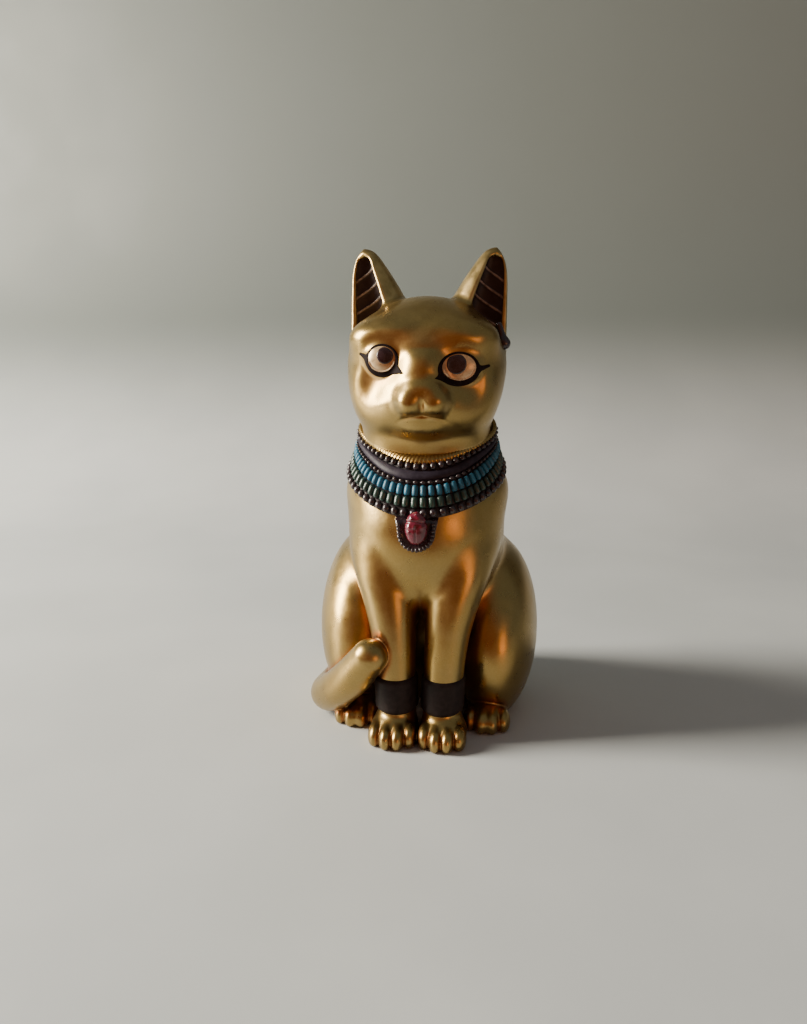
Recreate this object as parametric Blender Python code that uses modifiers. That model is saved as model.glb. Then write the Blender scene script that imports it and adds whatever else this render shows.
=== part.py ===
"""A seated cat figurine with painted eyes, cupped ears, leg cuffs and a bead collar.

The cat sits on the floor plane z = 0 and faces -Y. Its own left side is +X, and its tail
curls round its right side. The figurine has no moving pieces: the nodes are its limbs,
its collar rows and its painted or inlaid details, each a closed solid of its own.
"""

from math import cos, pi, radians, sin, sqrt

import bmesh
import bpy
from mathutils import Matrix, Vector
from mathutils.bvhtree import BVHTree

# ---------------------------------------------------------------- driving dimensions
HEIGHT = 0.060                  # floor to ear tips
U = HEIGHT / 60                 # working unit, one sixtieth of the height: 1 mm here
GAP = 0.3 * U                   # clearance between two limbs that touch
TRIM_GAP = 0.1 * U              # clearance round the small inlaid details
PLACE = Vector((0.83, 0.32, 0)) * U     # puts the middle of the whole outline over the origin

# ---------------------------------------------------------------- body, in units of U
CHEST = ((0, -4.2, 27), (10.2, 9.6, 12.5))
SHOULDERS = ((0, -3.5, 31.8), (9.7, 8.5, 6.8))
NECK = ((0, -3.7, 37), (8.1, 7.7, 8))
BACK = ((0, 2.2, 20.5), (10, 10.6, 15))
RUMP = ((0, 5.5, 9), (12, 10.5, 11))
HAUNCH = ((8.9, 2, 10.5), (6, 12.6, 10.4))
HAUNCH_TILT = radians(50)       # its long axis runs from the knee up and back to the hip

LEG_SECTIONS = (                # height, distance from the cleft's middle, y, half width, half depth
    (3.6, 2.82, -11.2, 2.3, 2.9),
    (8.5, 3.1, -11.1, 2.35, 2.9),
    (13, 3.45, -10.6, 2.75, 3.3),
    (17, 4.0, -9.7, 3.5, 3.9),
    (20.5, 4.8, -8.4, 4.4, 4.6),
    (23.5, 5.1, -7.2, 4.3, 4.6),
    (26, 4.8, -6.2, 3.7, 4.2),
)
CUFF_BOTTOM = 3.85
CUFF_TOP = 8.1
CUFF_WALL = 0.3

FRONT_PAW = ((3.15, -12.6, 1.3), (2.9, 4.3, 2.5))
FRONT_TOE_REACH = -15.3
HIND_PAW = ((8.4, -5.6, 1.2), (2.6, 5.6, 2.2))
HIND_TOE_REACH = -9.6
TOE = (0.82, 1.8, 1.9)          # half width, half length, half height of one toe
TOE_SPREAD = 1.36               # from one toe's middle to the next

TAIL_RADIUS = 2.25
TAIL_ROUTE = (                  # from the rump, round the right haunch, to the tip on the right foreleg
    (1.5, 12, 4.6),
    (-4.5, 14.1, 3.4),
    (-10, 12.4, 2.6),
    (-13.4, 8, 2.4),
    (-14.2, 2.5, 2.4),
    (-13.8, -3, 2.5),
    (-11.9, -7.8, 3.4),
    (-9.1, -11.5, 6.2),
    (-6.9, -13.9, 9.5),
    (-5.6, -14.7, 11.6),
)

# ---------------------------------------------------------------- head, in units of U
SKULL = ((0, -3.9, 45.8), (10.05, 9.2, 8.5))
JOWL = ((4.3, -6, 42.2), (5.2, 6, 5.3))
THROAT = ((0, -3.7, 38.4), (8.1, 7.7, 5))
MUZZLE = ((0, -10.8, 41.2), (4.6, 4.2, 3.5))
PAD = ((1.7, -13.3, 41.2), (1.9, 1.7, 1.5))
BRIDGE = ((0, -11.4, 45.2), (1.7, 2.5, 4))
BROW = ((4.4, -8.7, 49), (3.8, 2.2, 1.5))

EAR_BASE = 49
EAR_TOP = 60
EAR_HALF_WIDTH = 4.6
EAR_HALF_DEPTH = 4.0
EAR_OUTER_X = 9.8               # the outer edge stands nearly upright
EAR_LEAN = 1.4                  # and leans in this far at the tip
EAR_OPENING_TURN = radians(30)  # the cup opens this far outward from straight ahead
EAR_OPENING_HALF = radians(48)
EAR_WALL = 0.24                 # of the ear's half width at the same height
LINING_WALL = 0.1

EYE_RIGHT = (-4.4, 46.4)        # x and z of the eye's middle
EYE_LEFT = (4.8, 45.8)
EYE_RADII = (1.75, 1.6)
LINER_REACH = 2.7               # from the eye's middle to either corner of the liner
LINER_TOP = 2.0
LINER_BOTTOM = 2.2
LINER_TILT = radians(15)        # the inner corner is the lower one
PUPIL_RADIUS = 1.0
STUD_RADIUS = 0.75
STUD_MIDDLE = (9.45, -4.1, 48.5)

# ---------------------------------------------------------------- collar, in units of U
COLLAR_CENTRE = Vector((0, -3.7, 38)) * U
COLLAR_TILT = radians(25)       # the collar leans down at the front
HEAD_SEAM = 0.45                # the head's lower face, above the neck ring's plane
RING_RADIUS = 0.28
ROWS = (                        # name, top and bottom below the ring's plane, beads, thickness, relief
    ("upper_bead_row", 0.35, 0.90, 32, 0.45, 0.5),
    ("dark_band", 0.98, 1.62, 32, 0.5, 0),
    ("small_bead_row", 1.70, 2.12, 32, 0.45, 0.5),
    ("turquoise_bead_row", 2.20, 3.08, 32, 0.55, 0.45),
    ("green_bead_row", 3.16, 4.02, 32, 0.5, 0.45),
    ("outer_bead_row", 4.10, 4.85, 32, 0.6, 0.55),
)
PENDANT_MIDDLE = (-0.2, 26.9)   # x and z
PENDANT_RADIUS = 2.35
PENDANT_FRONT = 1.15            # the setting's face, in front of the chest
GEM_MIDDLE = (-0.15, -1.4, 27.5)    # x, y in front of the chest, z
GEM_RADII = (1.35, 0.8, 2.05)

# ---------------------------------------------------------------- materials: colour, roughness, metallic
GOLD = ("gold_paint", (0.43, 0.30, 0.11), 0.38, 0.9)
DARK = ("dark_brown_paint", (0.030, 0.014, 0.014), 0.5, 0.0)
GLOSSY_DARK = ("glossy_dark_paint", (0.025, 0.011, 0.014), 0.2, 0.0)
EYE_CREAM = ("cream_gold_paint", (0.68, 0.50, 0.25), 0.3, 0.4)
NAVY = ("navy_enamel", (0.018, 0.016, 0.030), 0.3, 0.0)
BEAD_BLACK = ("black_bead_enamel", (0.035, 0.022, 0.032), 0.3, 0.0)
TURQUOISE = ("turquoise_enamel", (0.03, 0.28, 0.42), 0.3, 0.0)
GREEN = ("green_enamel", (0.025, 0.085, 0.060), 0.35, 0.0)
RED = ("red_enamel", (0.13, 0.008, 0.022), 0.15, 0.0)

ROW_FINISH = {
    "upper_bead_row": BEAD_BLACK,
    "dark_band": NAVY,
    "small_bead_row": BEAD_BLACK,
    "turquoise_bead_row": TURQUOISE,
    "green_bead_row": GREEN,
    "outer_bead_row": BEAD_BLACK,
}

COLLAR_UP = Vector((0, -sin(COLLAR_TILT), cos(COLLAR_TILT)))
COLLAR_FORWARD = Vector((0, -cos(COLLAR_TILT), -sin(COLLAR_TILT)))
SIDES = (("left", 1), ("right", -1))


# ---------------------------------------------------------------- scene and materials
def clear_scene():
    for old in list(bpy.data.objects):
        bpy.data.objects.remove(old)


def new_collection(name):
    collection = bpy.data.collections.new(name)
    bpy.context.scene.collection.children.link(collection)
    return collection


def material(finish):
    name, colour, roughness, metallic = finish
    found = bpy.data.materials.get(name)
    if found:
        return found
    made = bpy.data.materials.new(name)
    made.use_nodes = True
    shader = made.node_tree.nodes["Principled BSDF"]
    shader.inputs["Base Color"].default_value = (*colour, 1)
    shader.inputs["Roughness"].default_value = roughness
    shader.inputs["Metallic"].default_value = metallic
    made.diffuse_color = (*colour, 1)
    return made


def add_part(name, mesh, finish):
    """A sub-part: one object in the figurine's collection, with its own material."""
    mesh.name = name
    mesh.materials.clear()
    mesh.materials.append(material(finish))
    mesh.shade_smooth()
    mesh.set_sharp_from_angle(angle=radians(40))
    part = bpy.data.objects.new(name, mesh)
    part.parent = STAND
    PARTS.objects.link(part)
    return part


def add_cutter(name, mesh):
    cutter = bpy.data.objects.new(name, mesh)
    cutter.parent = STAND
    CUTTERS.objects.link(cutter)
    cutter.hide_render = True
    cutter.display_type = "WIRE"
    return cutter


def subtract(part, *cutters):
    for cutter in cutters:
        cut = part.modifiers.new("cut_" + cutter.name, "BOOLEAN")
        cut.operation = "DIFFERENCE"
        cut.solver = "EXACT"
        cut.object = cutter


# ---------------------------------------------------------------- shapes
def mesh_from(bm, name):
    mesh = bpy.data.meshes.new(name)
    bm.to_mesh(mesh)
    bm.free()
    return mesh


def mirrored(shape, side):
    """The shape (middle, radii) on the left side (+1) or the right side (-1)."""
    (x, y, z), radii = shape
    return (x * side, y, z), radii


def ellipsoid(bm, shape, segments=24, tilt=0):
    """Adds an ellipsoid, given by its middle and its three radii in units of U."""
    middle, radii = shape
    turn = Matrix.Rotation(tilt, 4, "X")
    size = Matrix.Diagonal((*(Vector(radii) * U), 1))
    place = Matrix.Translation(Vector(middle) * U) @ turn @ size
    bmesh.ops.create_uvsphere(
        bm, u_segments=segments, v_segments=segments // 2, radius=1, matrix=place)


def ellipsoid_mesh(name, shape, segments=24, tilt=0):
    bm = bmesh.new()
    ellipsoid(bm, shape, segments, tilt)
    return mesh_from(bm, name)


def evaluated_mesh(thing):
    graph = bpy.context.evaluated_depsgraph_get()
    return bpy.data.meshes.new_from_object(thing.evaluated_get(graph))


def blended(name, bm, voxel, passes, triangles):
    """One smooth body round the closed solids in bm, brought down to a few triangles."""
    lump = bpy.data.objects.new(name, mesh_from(bm, name))
    bpy.context.scene.collection.objects.link(lump)
    skin = lump.modifiers.new("skin", "REMESH")
    skin.mode = "VOXEL"
    skin.voxel_size = voxel * U
    soften = lump.modifiers.new("soften", "SMOOTH")
    soften.factor = 0.5
    soften.iterations = passes
    fine = evaluated_mesh(lump)
    fine.calc_loop_triangles()
    fewer = lump.modifiers.new("fewer", "DECIMATE")
    fewer.ratio = min(1, triangles / len(fine.loop_triangles))
    fewer.use_collapse_triangulate = True
    coarse = evaluated_mesh(lump)
    bpy.data.objects.remove(lump)
    bpy.data.meshes.remove(fine)
    return coarse


def blend_of(name, shapes, voxel, passes, triangles):
    bm = bmesh.new()
    for shape in shapes:
        ellipsoid(bm, shape)
    return blended(name, bm, voxel, passes, triangles)


def grown(name, mesh, gap):
    """A cutter that follows the mesh with a clearance."""
    cutter = add_cutter("room_for_" + name, mesh.copy())
    swell = cutter.modifiers.new("clearance", "DISPLACE")
    swell.strength = gap
    swell.mid_level = 0
    return cutter


def lofted(name, rings, closed=False, capped=True):
    """Faces between neighbouring rings of points; a closed loft meets its own start."""
    bm = bmesh.new()
    loops = [[bm.verts.new(point) for point in ring] for ring in rings]
    following = loops[1:] + loops[:1] if closed else loops[1:]
    for lower, upper in zip(loops, following):
        count = len(lower)
        for k in range(count):
            after = (k + 1) % count
            bm.faces.new((lower[k], lower[after], upper[after], upper[k]))
    if capped and not closed:
        bm.faces.new(loops[0])
        bm.faces.new(loops[-1])
    bmesh.ops.recalc_face_normals(bm, faces=bm.faces)
    return mesh_from(bm, name)


def ellipse(middle, half_width, half_depth, segments):
    """A level ellipse, counter-clockwise, in units of U."""
    x, y, z = middle
    turns = [2 * pi * k / segments for k in range(segments)]
    return [Vector((x + half_width * cos(a), y + half_depth * sin(a), z)) * U for a in turns]


def box_mesh(name, size):
    bm = bmesh.new()
    bmesh.ops.create_cube(bm, size=size)
    return mesh_from(bm, name)


def slab_cutter(name, middle, up, above):
    """A large block whose face lies in a plane, on its upper or its lower side."""
    size = 80 * U
    block = add_cutter(name, box_mesh(name, size))
    turn = up.to_track_quat("Z", "Y").to_matrix().to_4x4()
    lift = size / 2 if above else -size / 2
    block.matrix_local = Matrix.Translation(middle + up * lift) @ turn
    return block


def plate_mesh(name, outlines, thickness, place):
    """A flat plate with the outlines' shape; an outline inside another is a hole."""
    outline = bpy.data.curves.new(name, "CURVE")
    outline.dimensions = "2D"
    outline.fill_mode = "BOTH"
    outline.extrude = thickness / 2
    for points in outlines:
        spline = outline.splines.new("POLY")
        spline.points.add(len(points) - 1)
        for spot, (x, y) in zip(spline.points, points):
            spot.co = (x * U, y * U, 0, 1)
        spline.use_cyclic_u = True
    holder = bpy.data.objects.new(name, outline)
    bpy.context.scene.collection.objects.link(holder)
    mesh = evaluated_mesh(holder)
    bpy.data.objects.remove(holder)
    bm = bmesh.new()
    bm.from_mesh(mesh)
    bmesh.ops.remove_doubles(bm, verts=bm.verts, dist=1e-7)
    bm.transform(place)
    bmesh.ops.recalc_face_normals(bm, faces=bm.faces)
    bm.to_mesh(mesh)
    bm.free()
    return mesh


# ---------------------------------------------------------------- body
def make_torso():
    mesh = blend_of("torso", (CHEST, SHOULDERS, NECK, BACK, RUMP), 0.7, 12, 1300)
    torso = add_part("torso", mesh, GOLD)
    neck_top = COLLAR_CENTRE + COLLAR_UP * (HEAD_SEAM * U - GAP)
    subtract(torso, FLOOR, slab_cutter("above_the_neck", neck_top, COLLAR_UP, True))
    return mesh


def make_haunches(room_for_torso):
    cutters = {}
    for side_name, side in SIDES:
        name = side_name + "_haunch"
        mesh = ellipsoid_mesh(name, mirrored(HAUNCH, side), 22, HAUNCH_TILT)
        subtract(add_part(name, mesh, GOLD), room_for_torso, FLOOR)
        cutters[side_name] = grown(name, mesh, GAP)
    return cutters


def leg_rings(side):
    rings = []
    for z, reach, y, half_width, half_depth in LEG_SECTIONS:
        middle = (side * reach, y, z)
        rings.append(ellipse(middle, half_width, half_depth, 20))
    return rings


def make_forelegs(room_for_torso):
    cutters = {}
    for side_name, side in SIDES:
        name = side_name + "_foreleg"
        mesh = lofted(name, leg_rings(side))
        subtract(add_part(name, mesh, GOLD), room_for_torso)
        cutters[side_name] = grown(name, mesh, GAP)
    return cutters


def leg_ring_at(side, z, widen):
    """The foreleg's section at a height between its first two, widened all round."""
    low, high = LEG_SECTIONS[:2]
    share = (z - low[0]) / (high[0] - low[0])
    reach, y, half_width, half_depth = (a + (b - a) * share for a, b in zip(low[1:], high[1:]))
    middle = (side * reach, y, z)
    return ellipse(middle, half_width + widen, half_depth + widen, 28)


def make_cuffs():
    """A thin band round the lower end of each foreleg."""
    cutters = {}
    clear = TRIM_GAP / U
    for side_name, side in SIDES:
        name = side_name + "_cuff"
        levels = (CUFF_BOTTOM, (CUFF_BOTTOM + CUFF_TOP) / 2, CUFF_TOP)
        rings = [leg_ring_at(side, z, clear) for z in levels]
        cuff = add_part(name, lofted(name, rings, capped=False), DARK)
        wall = cuff.modifiers.new("wall", "SOLIDIFY")
        wall.thickness = CUFF_WALL * U
        wall.offset = 1
        wall.use_even_offset = True
        ends = (CUFF_BOTTOM - clear, CUFF_TOP + clear)
        room = [leg_ring_at(side, z, CUFF_WALL + 2 * clear) for z in ends]
        cutters[side_name] = add_cutter("room_for_" + name, lofted(name, room))
    return cutters


def widened(shape, extra):
    middle, radii = shape
    return middle, tuple(radius + extra for radius in radii)


def paw_mesh(name, foot, toe_reach, extra=0):
    """A foot with four toes side by side at its front, made wider all round by extra."""
    bm = bmesh.new()
    ellipsoid(bm, widened(foot, extra))
    (x, _, _), _ = foot
    for k in range(4):
        across = (k - 1.5) * TOE_SPREAD
        back = 0.22 * across * across
        toe = ((x + across, toe_reach + back, 1.1), TOE)
        ellipsoid(bm, widened(toe, extra), 16)
    return blended(name, bm, 0.22, 2, 420)


def make_paw(name, foot, toe_reach, *cutters):
    """One paw; returns a cutter that leaves room for it."""
    paw = add_part(name, paw_mesh(name, foot, toe_reach), GOLD)
    subtract(paw, FLOOR, *cutters)
    room = "room_for_" + name
    return add_cutter(room, paw_mesh(room, foot, toe_reach, GAP / U))


def make_front_paws(legs, cuffs):
    cutters = {}
    for side_name, side in SIDES:
        cutters[side_name] = make_paw(
            side_name + "_front_paw", mirrored(FRONT_PAW, side), FRONT_TOE_REACH,
            legs[side_name], cuffs[side_name])
    return cutters


def make_hind_paws(haunches, front_paws, room_for_torso):
    cutters = {}
    for side_name, side in SIDES:
        cutters[side_name] = make_paw(
            side_name + "_hind_paw", mirrored(HIND_PAW, side), HIND_TOE_REACH,
            haunches[side_name], front_paws[side_name], room_for_torso)
    return cutters


def tail_tube():
    curve = bpy.data.curves.new("tail_route", "CURVE")
    curve.dimensions = "3D"
    curve.bevel_depth = TAIL_RADIUS * U
    curve.bevel_resolution = 4
    curve.resolution_u = 6
    curve.use_fill_caps = True
    route = curve.splines.new("BEZIER")
    route.bezier_points.add(len(TAIL_ROUTE) - 1)
    for spot, point in zip(route.bezier_points, TAIL_ROUTE):
        spot.co = Vector(point) * U
        spot.handle_left_type = "AUTO"
        spot.handle_right_type = "AUTO"
    holder = bpy.data.objects.new("tail_route", curve)
    bpy.context.scene.collection.objects.link(holder)
    mesh = evaluated_mesh(holder)
    bpy.data.objects.remove(holder)
    return mesh


def make_tail(*cutters):
    bm = bmesh.new()
    bm.from_mesh(tail_tube())
    bmesh.ops.remove_doubles(bm, verts=bm.verts, dist=1e-7)
    tip = (TAIL_ROUTE[-1], (TAIL_RADIUS,) * 3)
    ellipsoid(bm, tip, 20)
    mesh = blended("tail", bm, 0.35, 2, 620)
    subtract(add_part("tail", mesh, GOLD), FLOOR, *cutters)


# ---------------------------------------------------------------- head
def make_head():
    bm = bmesh.new()
    for shape in (SKULL, THROAT, MUZZLE, BRIDGE):
        ellipsoid(bm, shape)
    for side in (1, -1):
        for shape in (JOWL, PAD, BROW):
            ellipsoid(bm, mirrored(shape, side))
    mesh = blended("head", bm, 0.42, 8, 1400)
    head = add_part("head", mesh, GOLD)
    chin_seam = COLLAR_CENTRE + COLLAR_UP * HEAD_SEAM * U
    subtract(head, slab_cutter("below_the_head", chin_seam, COLLAR_UP, False))
    return head, mesh


def ear_point(side, rise, turn, fraction):
    """A point of an ear: rise 0 to 1 up the ear, turn from straight ahead towards the outside,
    and fraction of the way from the ear's middle to its outer skin."""
    width = EAR_HALF_WIDTH * sqrt(1 - rise)
    depth = width * EAR_HALF_DEPTH / EAR_HALF_WIDTH
    outer_edge = EAR_OUTER_X - EAR_LEAN * rise ** 8
    x = outer_edge - width + width * fraction * sin(turn)
    y = -2.2 + 1.2 * rise - depth * fraction * cos(turn)
    z = EAR_BASE + (EAR_TOP - EAR_BASE) * rise
    return Vector((side * x, y, z)) * U


def ear_rings(side, rises, outer, inner, margin, steps):
    """C-shaped sections: round the back at one fraction, and home again at another."""
    start = EAR_OPENING_TURN + EAR_OPENING_HALF + margin
    end = EAR_OPENING_TURN - EAR_OPENING_HALF + 2 * pi - margin
    turns = [start + (end - start) * k / steps for k in range(steps + 1)]
    rings = []
    for rise in rises:
        around = [ear_point(side, rise, turn, outer) for turn in turns]
        home = [ear_point(side, rise, turn, inner) for turn in reversed(turns)]
        rings.append(around + home)
    return rings


def make_ears(room_for_head):
    cutters = {}
    shell_rises = (0, 0.2, 0.4, 0.58, 0.73, 0.85, 0.93, 0.975, 0.995)
    lining_rises = (0.05, 0.25, 0.45, 0.62, 0.76, 0.87, 0.93)
    clearance = 0.03
    lining_outer = 1 - EAR_WALL - clearance
    for side_name, side in SIDES:
        name = side_name + "_ear"
        mesh = lofted(name, ear_rings(side, shell_rises, 1, 1 - EAR_WALL, 0, 14))
        subtract(add_part(name, mesh, GOLD), room_for_head)
        cutters[side_name] = grown(name, mesh, TRIM_GAP)
        name = side_name + "_ear_lining"
        rings = ear_rings(side, lining_rises, lining_outer, lining_outer - LINING_WALL, 0.05, 10)
        subtract(add_part(name, lofted(name, rings), DARK), room_for_head)
    return cutters


def face_spot(tree, x, z):
    """The face's point and outward direction straight behind x, z."""
    spot, normal, _, _ = tree.ray_cast(Vector((x, -40, z)) * U, Vector((0, 1, 0)))
    return spot, normal


def almond(reach, top, bottom, steps=10):
    """The liner's outline: pointed at the inner corner and at the outer one."""
    points = []
    for k in range(steps + 1):
        along = k / steps
        points.append((reach * (2 * along - 1), -bottom * sin(pi * along) ** 0.8))
    for k in range(1, steps):
        along = 1 - k / steps
        points.append((reach * (2 * along - 1), top * sin(pi * along) ** 0.8))
    return points


def make_eye(side_name, side, middle, tree, head):
    spot, normal = face_spot(tree, *middle)
    facing = (normal + Vector((0, -1.2, 0))).normalized()
    upright = Vector((sin(LINER_TILT) * -side, 0, cos(LINER_TILT)))
    across = upright.cross(facing).normalized()
    upward = facing.cross(across)
    frame = Matrix((across, upward, facing)).transposed().to_4x4()
    frame.translation = spot - facing * 0.35 * U

    clearance = TRIM_GAP / U
    outline = almond(LINER_REACH, LINER_TOP, LINER_BOTTOM)
    roomy = almond(LINER_REACH + 2 * clearance, LINER_TOP + clearance, LINER_BOTTOM + clearance)
    rx, ry = EYE_RADII
    hole = [(rx * cos(2 * pi * k / 20), ry * sin(2 * pi * k / 20)) for k in range(20)]
    outward = frame @ Matrix.Translation((0, 0, 1.5 * U))
    room = add_cutter(side_name + "_eye_room", plate_mesh("eye_room", [roomy], 4.6 * U, outward))
    subtract(head, room)
    liner = plate_mesh(side_name + "_eyeliner", [outline, hole], 0.9 * U, frame)
    add_part(side_name + "_eyeliner", liner, DARK)

    ball = bmesh.new()
    size = (rx - clearance, ry - clearance, 0.62)
    shape = frame @ Matrix.Diagonal((*(Vector(size) * U), 1))
    bmesh.ops.create_uvsphere(ball, u_segments=16, v_segments=8, radius=1, matrix=shape)
    eye = add_part(side_name + "_eye", mesh_from(ball, side_name + "_eye"), EYE_CREAM)

    spot_of_pupil = Matrix.Translation(Vector((0.25 * -side, 0.3, 0.5)) * U)
    for name, radius, cutter in (("_pupil", PUPIL_RADIUS, False),
                                 ("_pupil_room", PUPIL_RADIUS + clearance, True)):
        drop = bmesh.new()
        flat = Matrix.Diagonal((radius * U, radius * U, radius * 0.35 * U, 1))
        bmesh.ops.create_uvsphere(
            drop, u_segments=12, v_segments=6, radius=1, matrix=frame @ spot_of_pupil @ flat)
        mesh = mesh_from(drop, side_name + name)
        if cutter:
            subtract(eye, add_cutter(side_name + name, mesh))
        else:
            add_part(side_name + name, mesh, GLOSSY_DARK)


def make_ear_stud(room_for_head, room_for_ear):
    """The dark knob at the base of the left ear."""
    mesh = ellipsoid_mesh("ear_stud", (STUD_MIDDLE, (STUD_RADIUS,) * 3), 16)
    subtract(add_part("ear_stud", mesh, GLOSSY_DARK), room_for_head, room_for_ear)


# ---------------------------------------------------------------- collar
def collar_direction(turn):
    """Away from the neck's axis: turn 0 is the front, a quarter turn is the left side."""
    return COLLAR_FORWARD * cos(turn) + Vector((1, 0, 0)) * sin(turn)


def torso_radius(tree, depth, turn):
    """From the collar's axis to the body's skin, this far below the neck ring's plane."""
    away = collar_direction(turn)
    centre = COLLAR_CENTRE - COLLAR_UP * depth * U
    spot, _, _, _ = tree.ray_cast(centre + away * 30 * U, -away)
    return (spot - centre).length


def collar_point(tree, depth, turn, height):
    """A point at a height over the body's skin, in metres."""
    reach = torso_radius(tree, depth, turn) + height
    return COLLAR_CENTRE - COLLAR_UP * depth * U + collar_direction(turn) * reach


def row_mesh(name, tree, top, bottom, beads, thickness, relief):
    """A band round the neck, scalloped where its beads stand side by side."""
    steps = beads * 2
    middle = (top + bottom) / 2
    rings = []
    for k in range(steps):
        turn = 2 * pi * k / steps
        height = thickness * U * (1 - relief * (k % 2))
        rings.append([
            collar_point(tree, top, turn, GAP),
            collar_point(tree, bottom, turn, GAP),
            collar_point(tree, bottom, turn, GAP + height * 0.6),
            collar_point(tree, middle, turn, GAP + height),
            collar_point(tree, top, turn, GAP + height * 0.6),
        ])
    return lofted(name, rings, closed=True)


def make_neck_ring(tree):
    rings = []
    for k in range(48):
        turn = 2 * pi * k / 48
        section = []
        for side in range(5):
            around = 2 * pi * side / 5
            over = GAP + RING_RADIUS * U * (1 + cos(around))
            section.append(collar_point(tree, -RING_RADIUS * sin(around), turn, over))
        rings.append(section)
    add_part("neck_ring", lofted("neck_ring", rings, closed=True), GOLD)


def make_collar(torso_mesh):
    bm = bmesh.new()
    bm.from_mesh(torso_mesh)
    tree = BVHTree.FromBMesh(bm)
    bm.free()
    make_neck_ring(tree)
    for name, top, bottom, beads, thickness, relief in ROWS:
        mesh = row_mesh(name, tree, top, bottom, beads, thickness, relief)
        add_part(name, mesh, ROW_FINISH[name])
    _, top, bottom, beads, thickness, _ = ROWS[-1]
    envelope = row_mesh("pendant_limit", tree, 2, bottom + 0.1, beads, thickness * 2.2, 0)
    return add_cutter("room_for_collar", envelope)


def make_pendant(room_for_torso, room_for_collar):
    x, z = PENDANT_MIDDLE
    (_, chest_y, chest_z), (_, chest_depth, chest_height) = CHEST
    skin = chest_y - chest_depth * sqrt(1 - ((z - chest_z) / chest_height) ** 2)
    buried = 0.5
    place = Matrix.Translation(Vector((x, skin + (buried - PENDANT_FRONT) / 2, z)) * U)
    upright = place @ Matrix.Rotation(radians(90), 4, "X")
    outline = []
    for k in range(28):
        turn = 2 * pi * k / 28
        stretch = 1.12 if sin(turn) > 0 else 1
        outline.append((PENDANT_RADIUS * cos(turn), PENDANT_RADIUS * stretch * sin(turn)))
    plate = plate_mesh("pendant_setting", [outline], (PENDANT_FRONT + buried) * U, upright)
    setting = add_part("pendant_setting", plate, GLOSSY_DARK)
    gem_x, gem_y, gem_z = GEM_MIDDLE
    gem_shape = ((gem_x, skin + gem_y, gem_z), GEM_RADII)
    gem = ellipsoid_mesh("pendant_gem", gem_shape, 18)
    gem_room = ellipsoid_mesh("gem_room", widened(gem_shape, TRIM_GAP / U), 18)
    subtract(setting, room_for_torso, add_cutter("room_for_gem", gem_room), room_for_collar)
    subtract(add_part("pendant_gem", gem, RED), room_for_collar)


# ---------------------------------------------------------------- assembly
clear_scene()
PARTS = new_collection("cat_figurine")
CUTTERS = new_collection("cutters")
STAND = bpy.data.objects.new("stand", None)
STAND.location = PLACE
PARTS.objects.link(STAND)
FLOOR = slab_cutter("below_the_floor", Vector((0, 0, 0)), Vector((0, 0, 1)), False)

torso_shape = make_torso()
torso_room = grown("torso", torso_shape, GAP)
haunch_room = make_haunches(torso_room)
leg_room = make_forelegs(torso_room)
cuff_room = make_cuffs()
front_paw_room = make_front_paws(leg_room, cuff_room)
hind_paw_room = make_hind_paws(haunch_room, front_paw_room, torso_room)
make_tail(torso_room, haunch_room["right"], leg_room["right"], hind_paw_room["right"])

head_part, head_shape = make_head()
head_room = grown("head", head_shape, GAP)
ear_room = make_ears(head_room)
head_bm = bmesh.new()
head_bm.from_mesh(head_shape)
face = BVHTree.FromBMesh(head_bm)
head_bm.free()
make_eye("left", 1, EYE_LEFT, face, head_part)
make_eye("right", -1, EYE_RIGHT, face, head_part)
make_ear_stud(head_room, ear_room["left"])

collar_room = make_collar(torso_shape)
make_pendant(torso_room, collar_room)
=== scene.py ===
"""The looks of a seated gold cat figurine with a bead collar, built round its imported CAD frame.

The body and the head are sculpted as signed distance fields (numpy functions that are negative
inside the shape), in units of U, one sixtieth of the figurine's height, with x = 0 on its plane of
symmetry. Each field is meshed once and then cut along smooth lines, so that every limb is a closed
piece of its own and the pieces still meet without a step.
"""

from functools import reduce
from math import cos, pi, radians, sin

import bpy
import numpy as np
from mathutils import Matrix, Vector


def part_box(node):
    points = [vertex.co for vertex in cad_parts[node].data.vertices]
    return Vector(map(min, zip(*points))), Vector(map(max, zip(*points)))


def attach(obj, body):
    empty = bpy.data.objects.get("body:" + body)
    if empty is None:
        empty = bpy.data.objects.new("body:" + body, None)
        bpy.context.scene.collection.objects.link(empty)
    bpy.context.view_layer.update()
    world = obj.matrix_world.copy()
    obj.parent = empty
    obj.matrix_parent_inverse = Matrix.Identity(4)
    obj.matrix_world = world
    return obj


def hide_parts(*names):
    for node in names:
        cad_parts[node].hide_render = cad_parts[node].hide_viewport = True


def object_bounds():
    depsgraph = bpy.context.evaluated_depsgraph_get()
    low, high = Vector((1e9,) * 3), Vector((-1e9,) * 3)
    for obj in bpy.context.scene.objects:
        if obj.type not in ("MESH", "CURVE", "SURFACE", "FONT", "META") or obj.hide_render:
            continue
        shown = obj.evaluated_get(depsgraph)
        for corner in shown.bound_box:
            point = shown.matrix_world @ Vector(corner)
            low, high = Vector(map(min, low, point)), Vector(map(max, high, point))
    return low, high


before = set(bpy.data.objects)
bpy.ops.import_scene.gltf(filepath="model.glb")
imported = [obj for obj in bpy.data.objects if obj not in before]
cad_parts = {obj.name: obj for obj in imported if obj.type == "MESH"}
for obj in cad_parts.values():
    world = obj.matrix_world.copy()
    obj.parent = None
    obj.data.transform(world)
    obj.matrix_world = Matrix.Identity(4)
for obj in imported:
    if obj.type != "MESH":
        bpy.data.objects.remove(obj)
CAD_BOX = [list(corner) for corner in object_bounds()]

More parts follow.
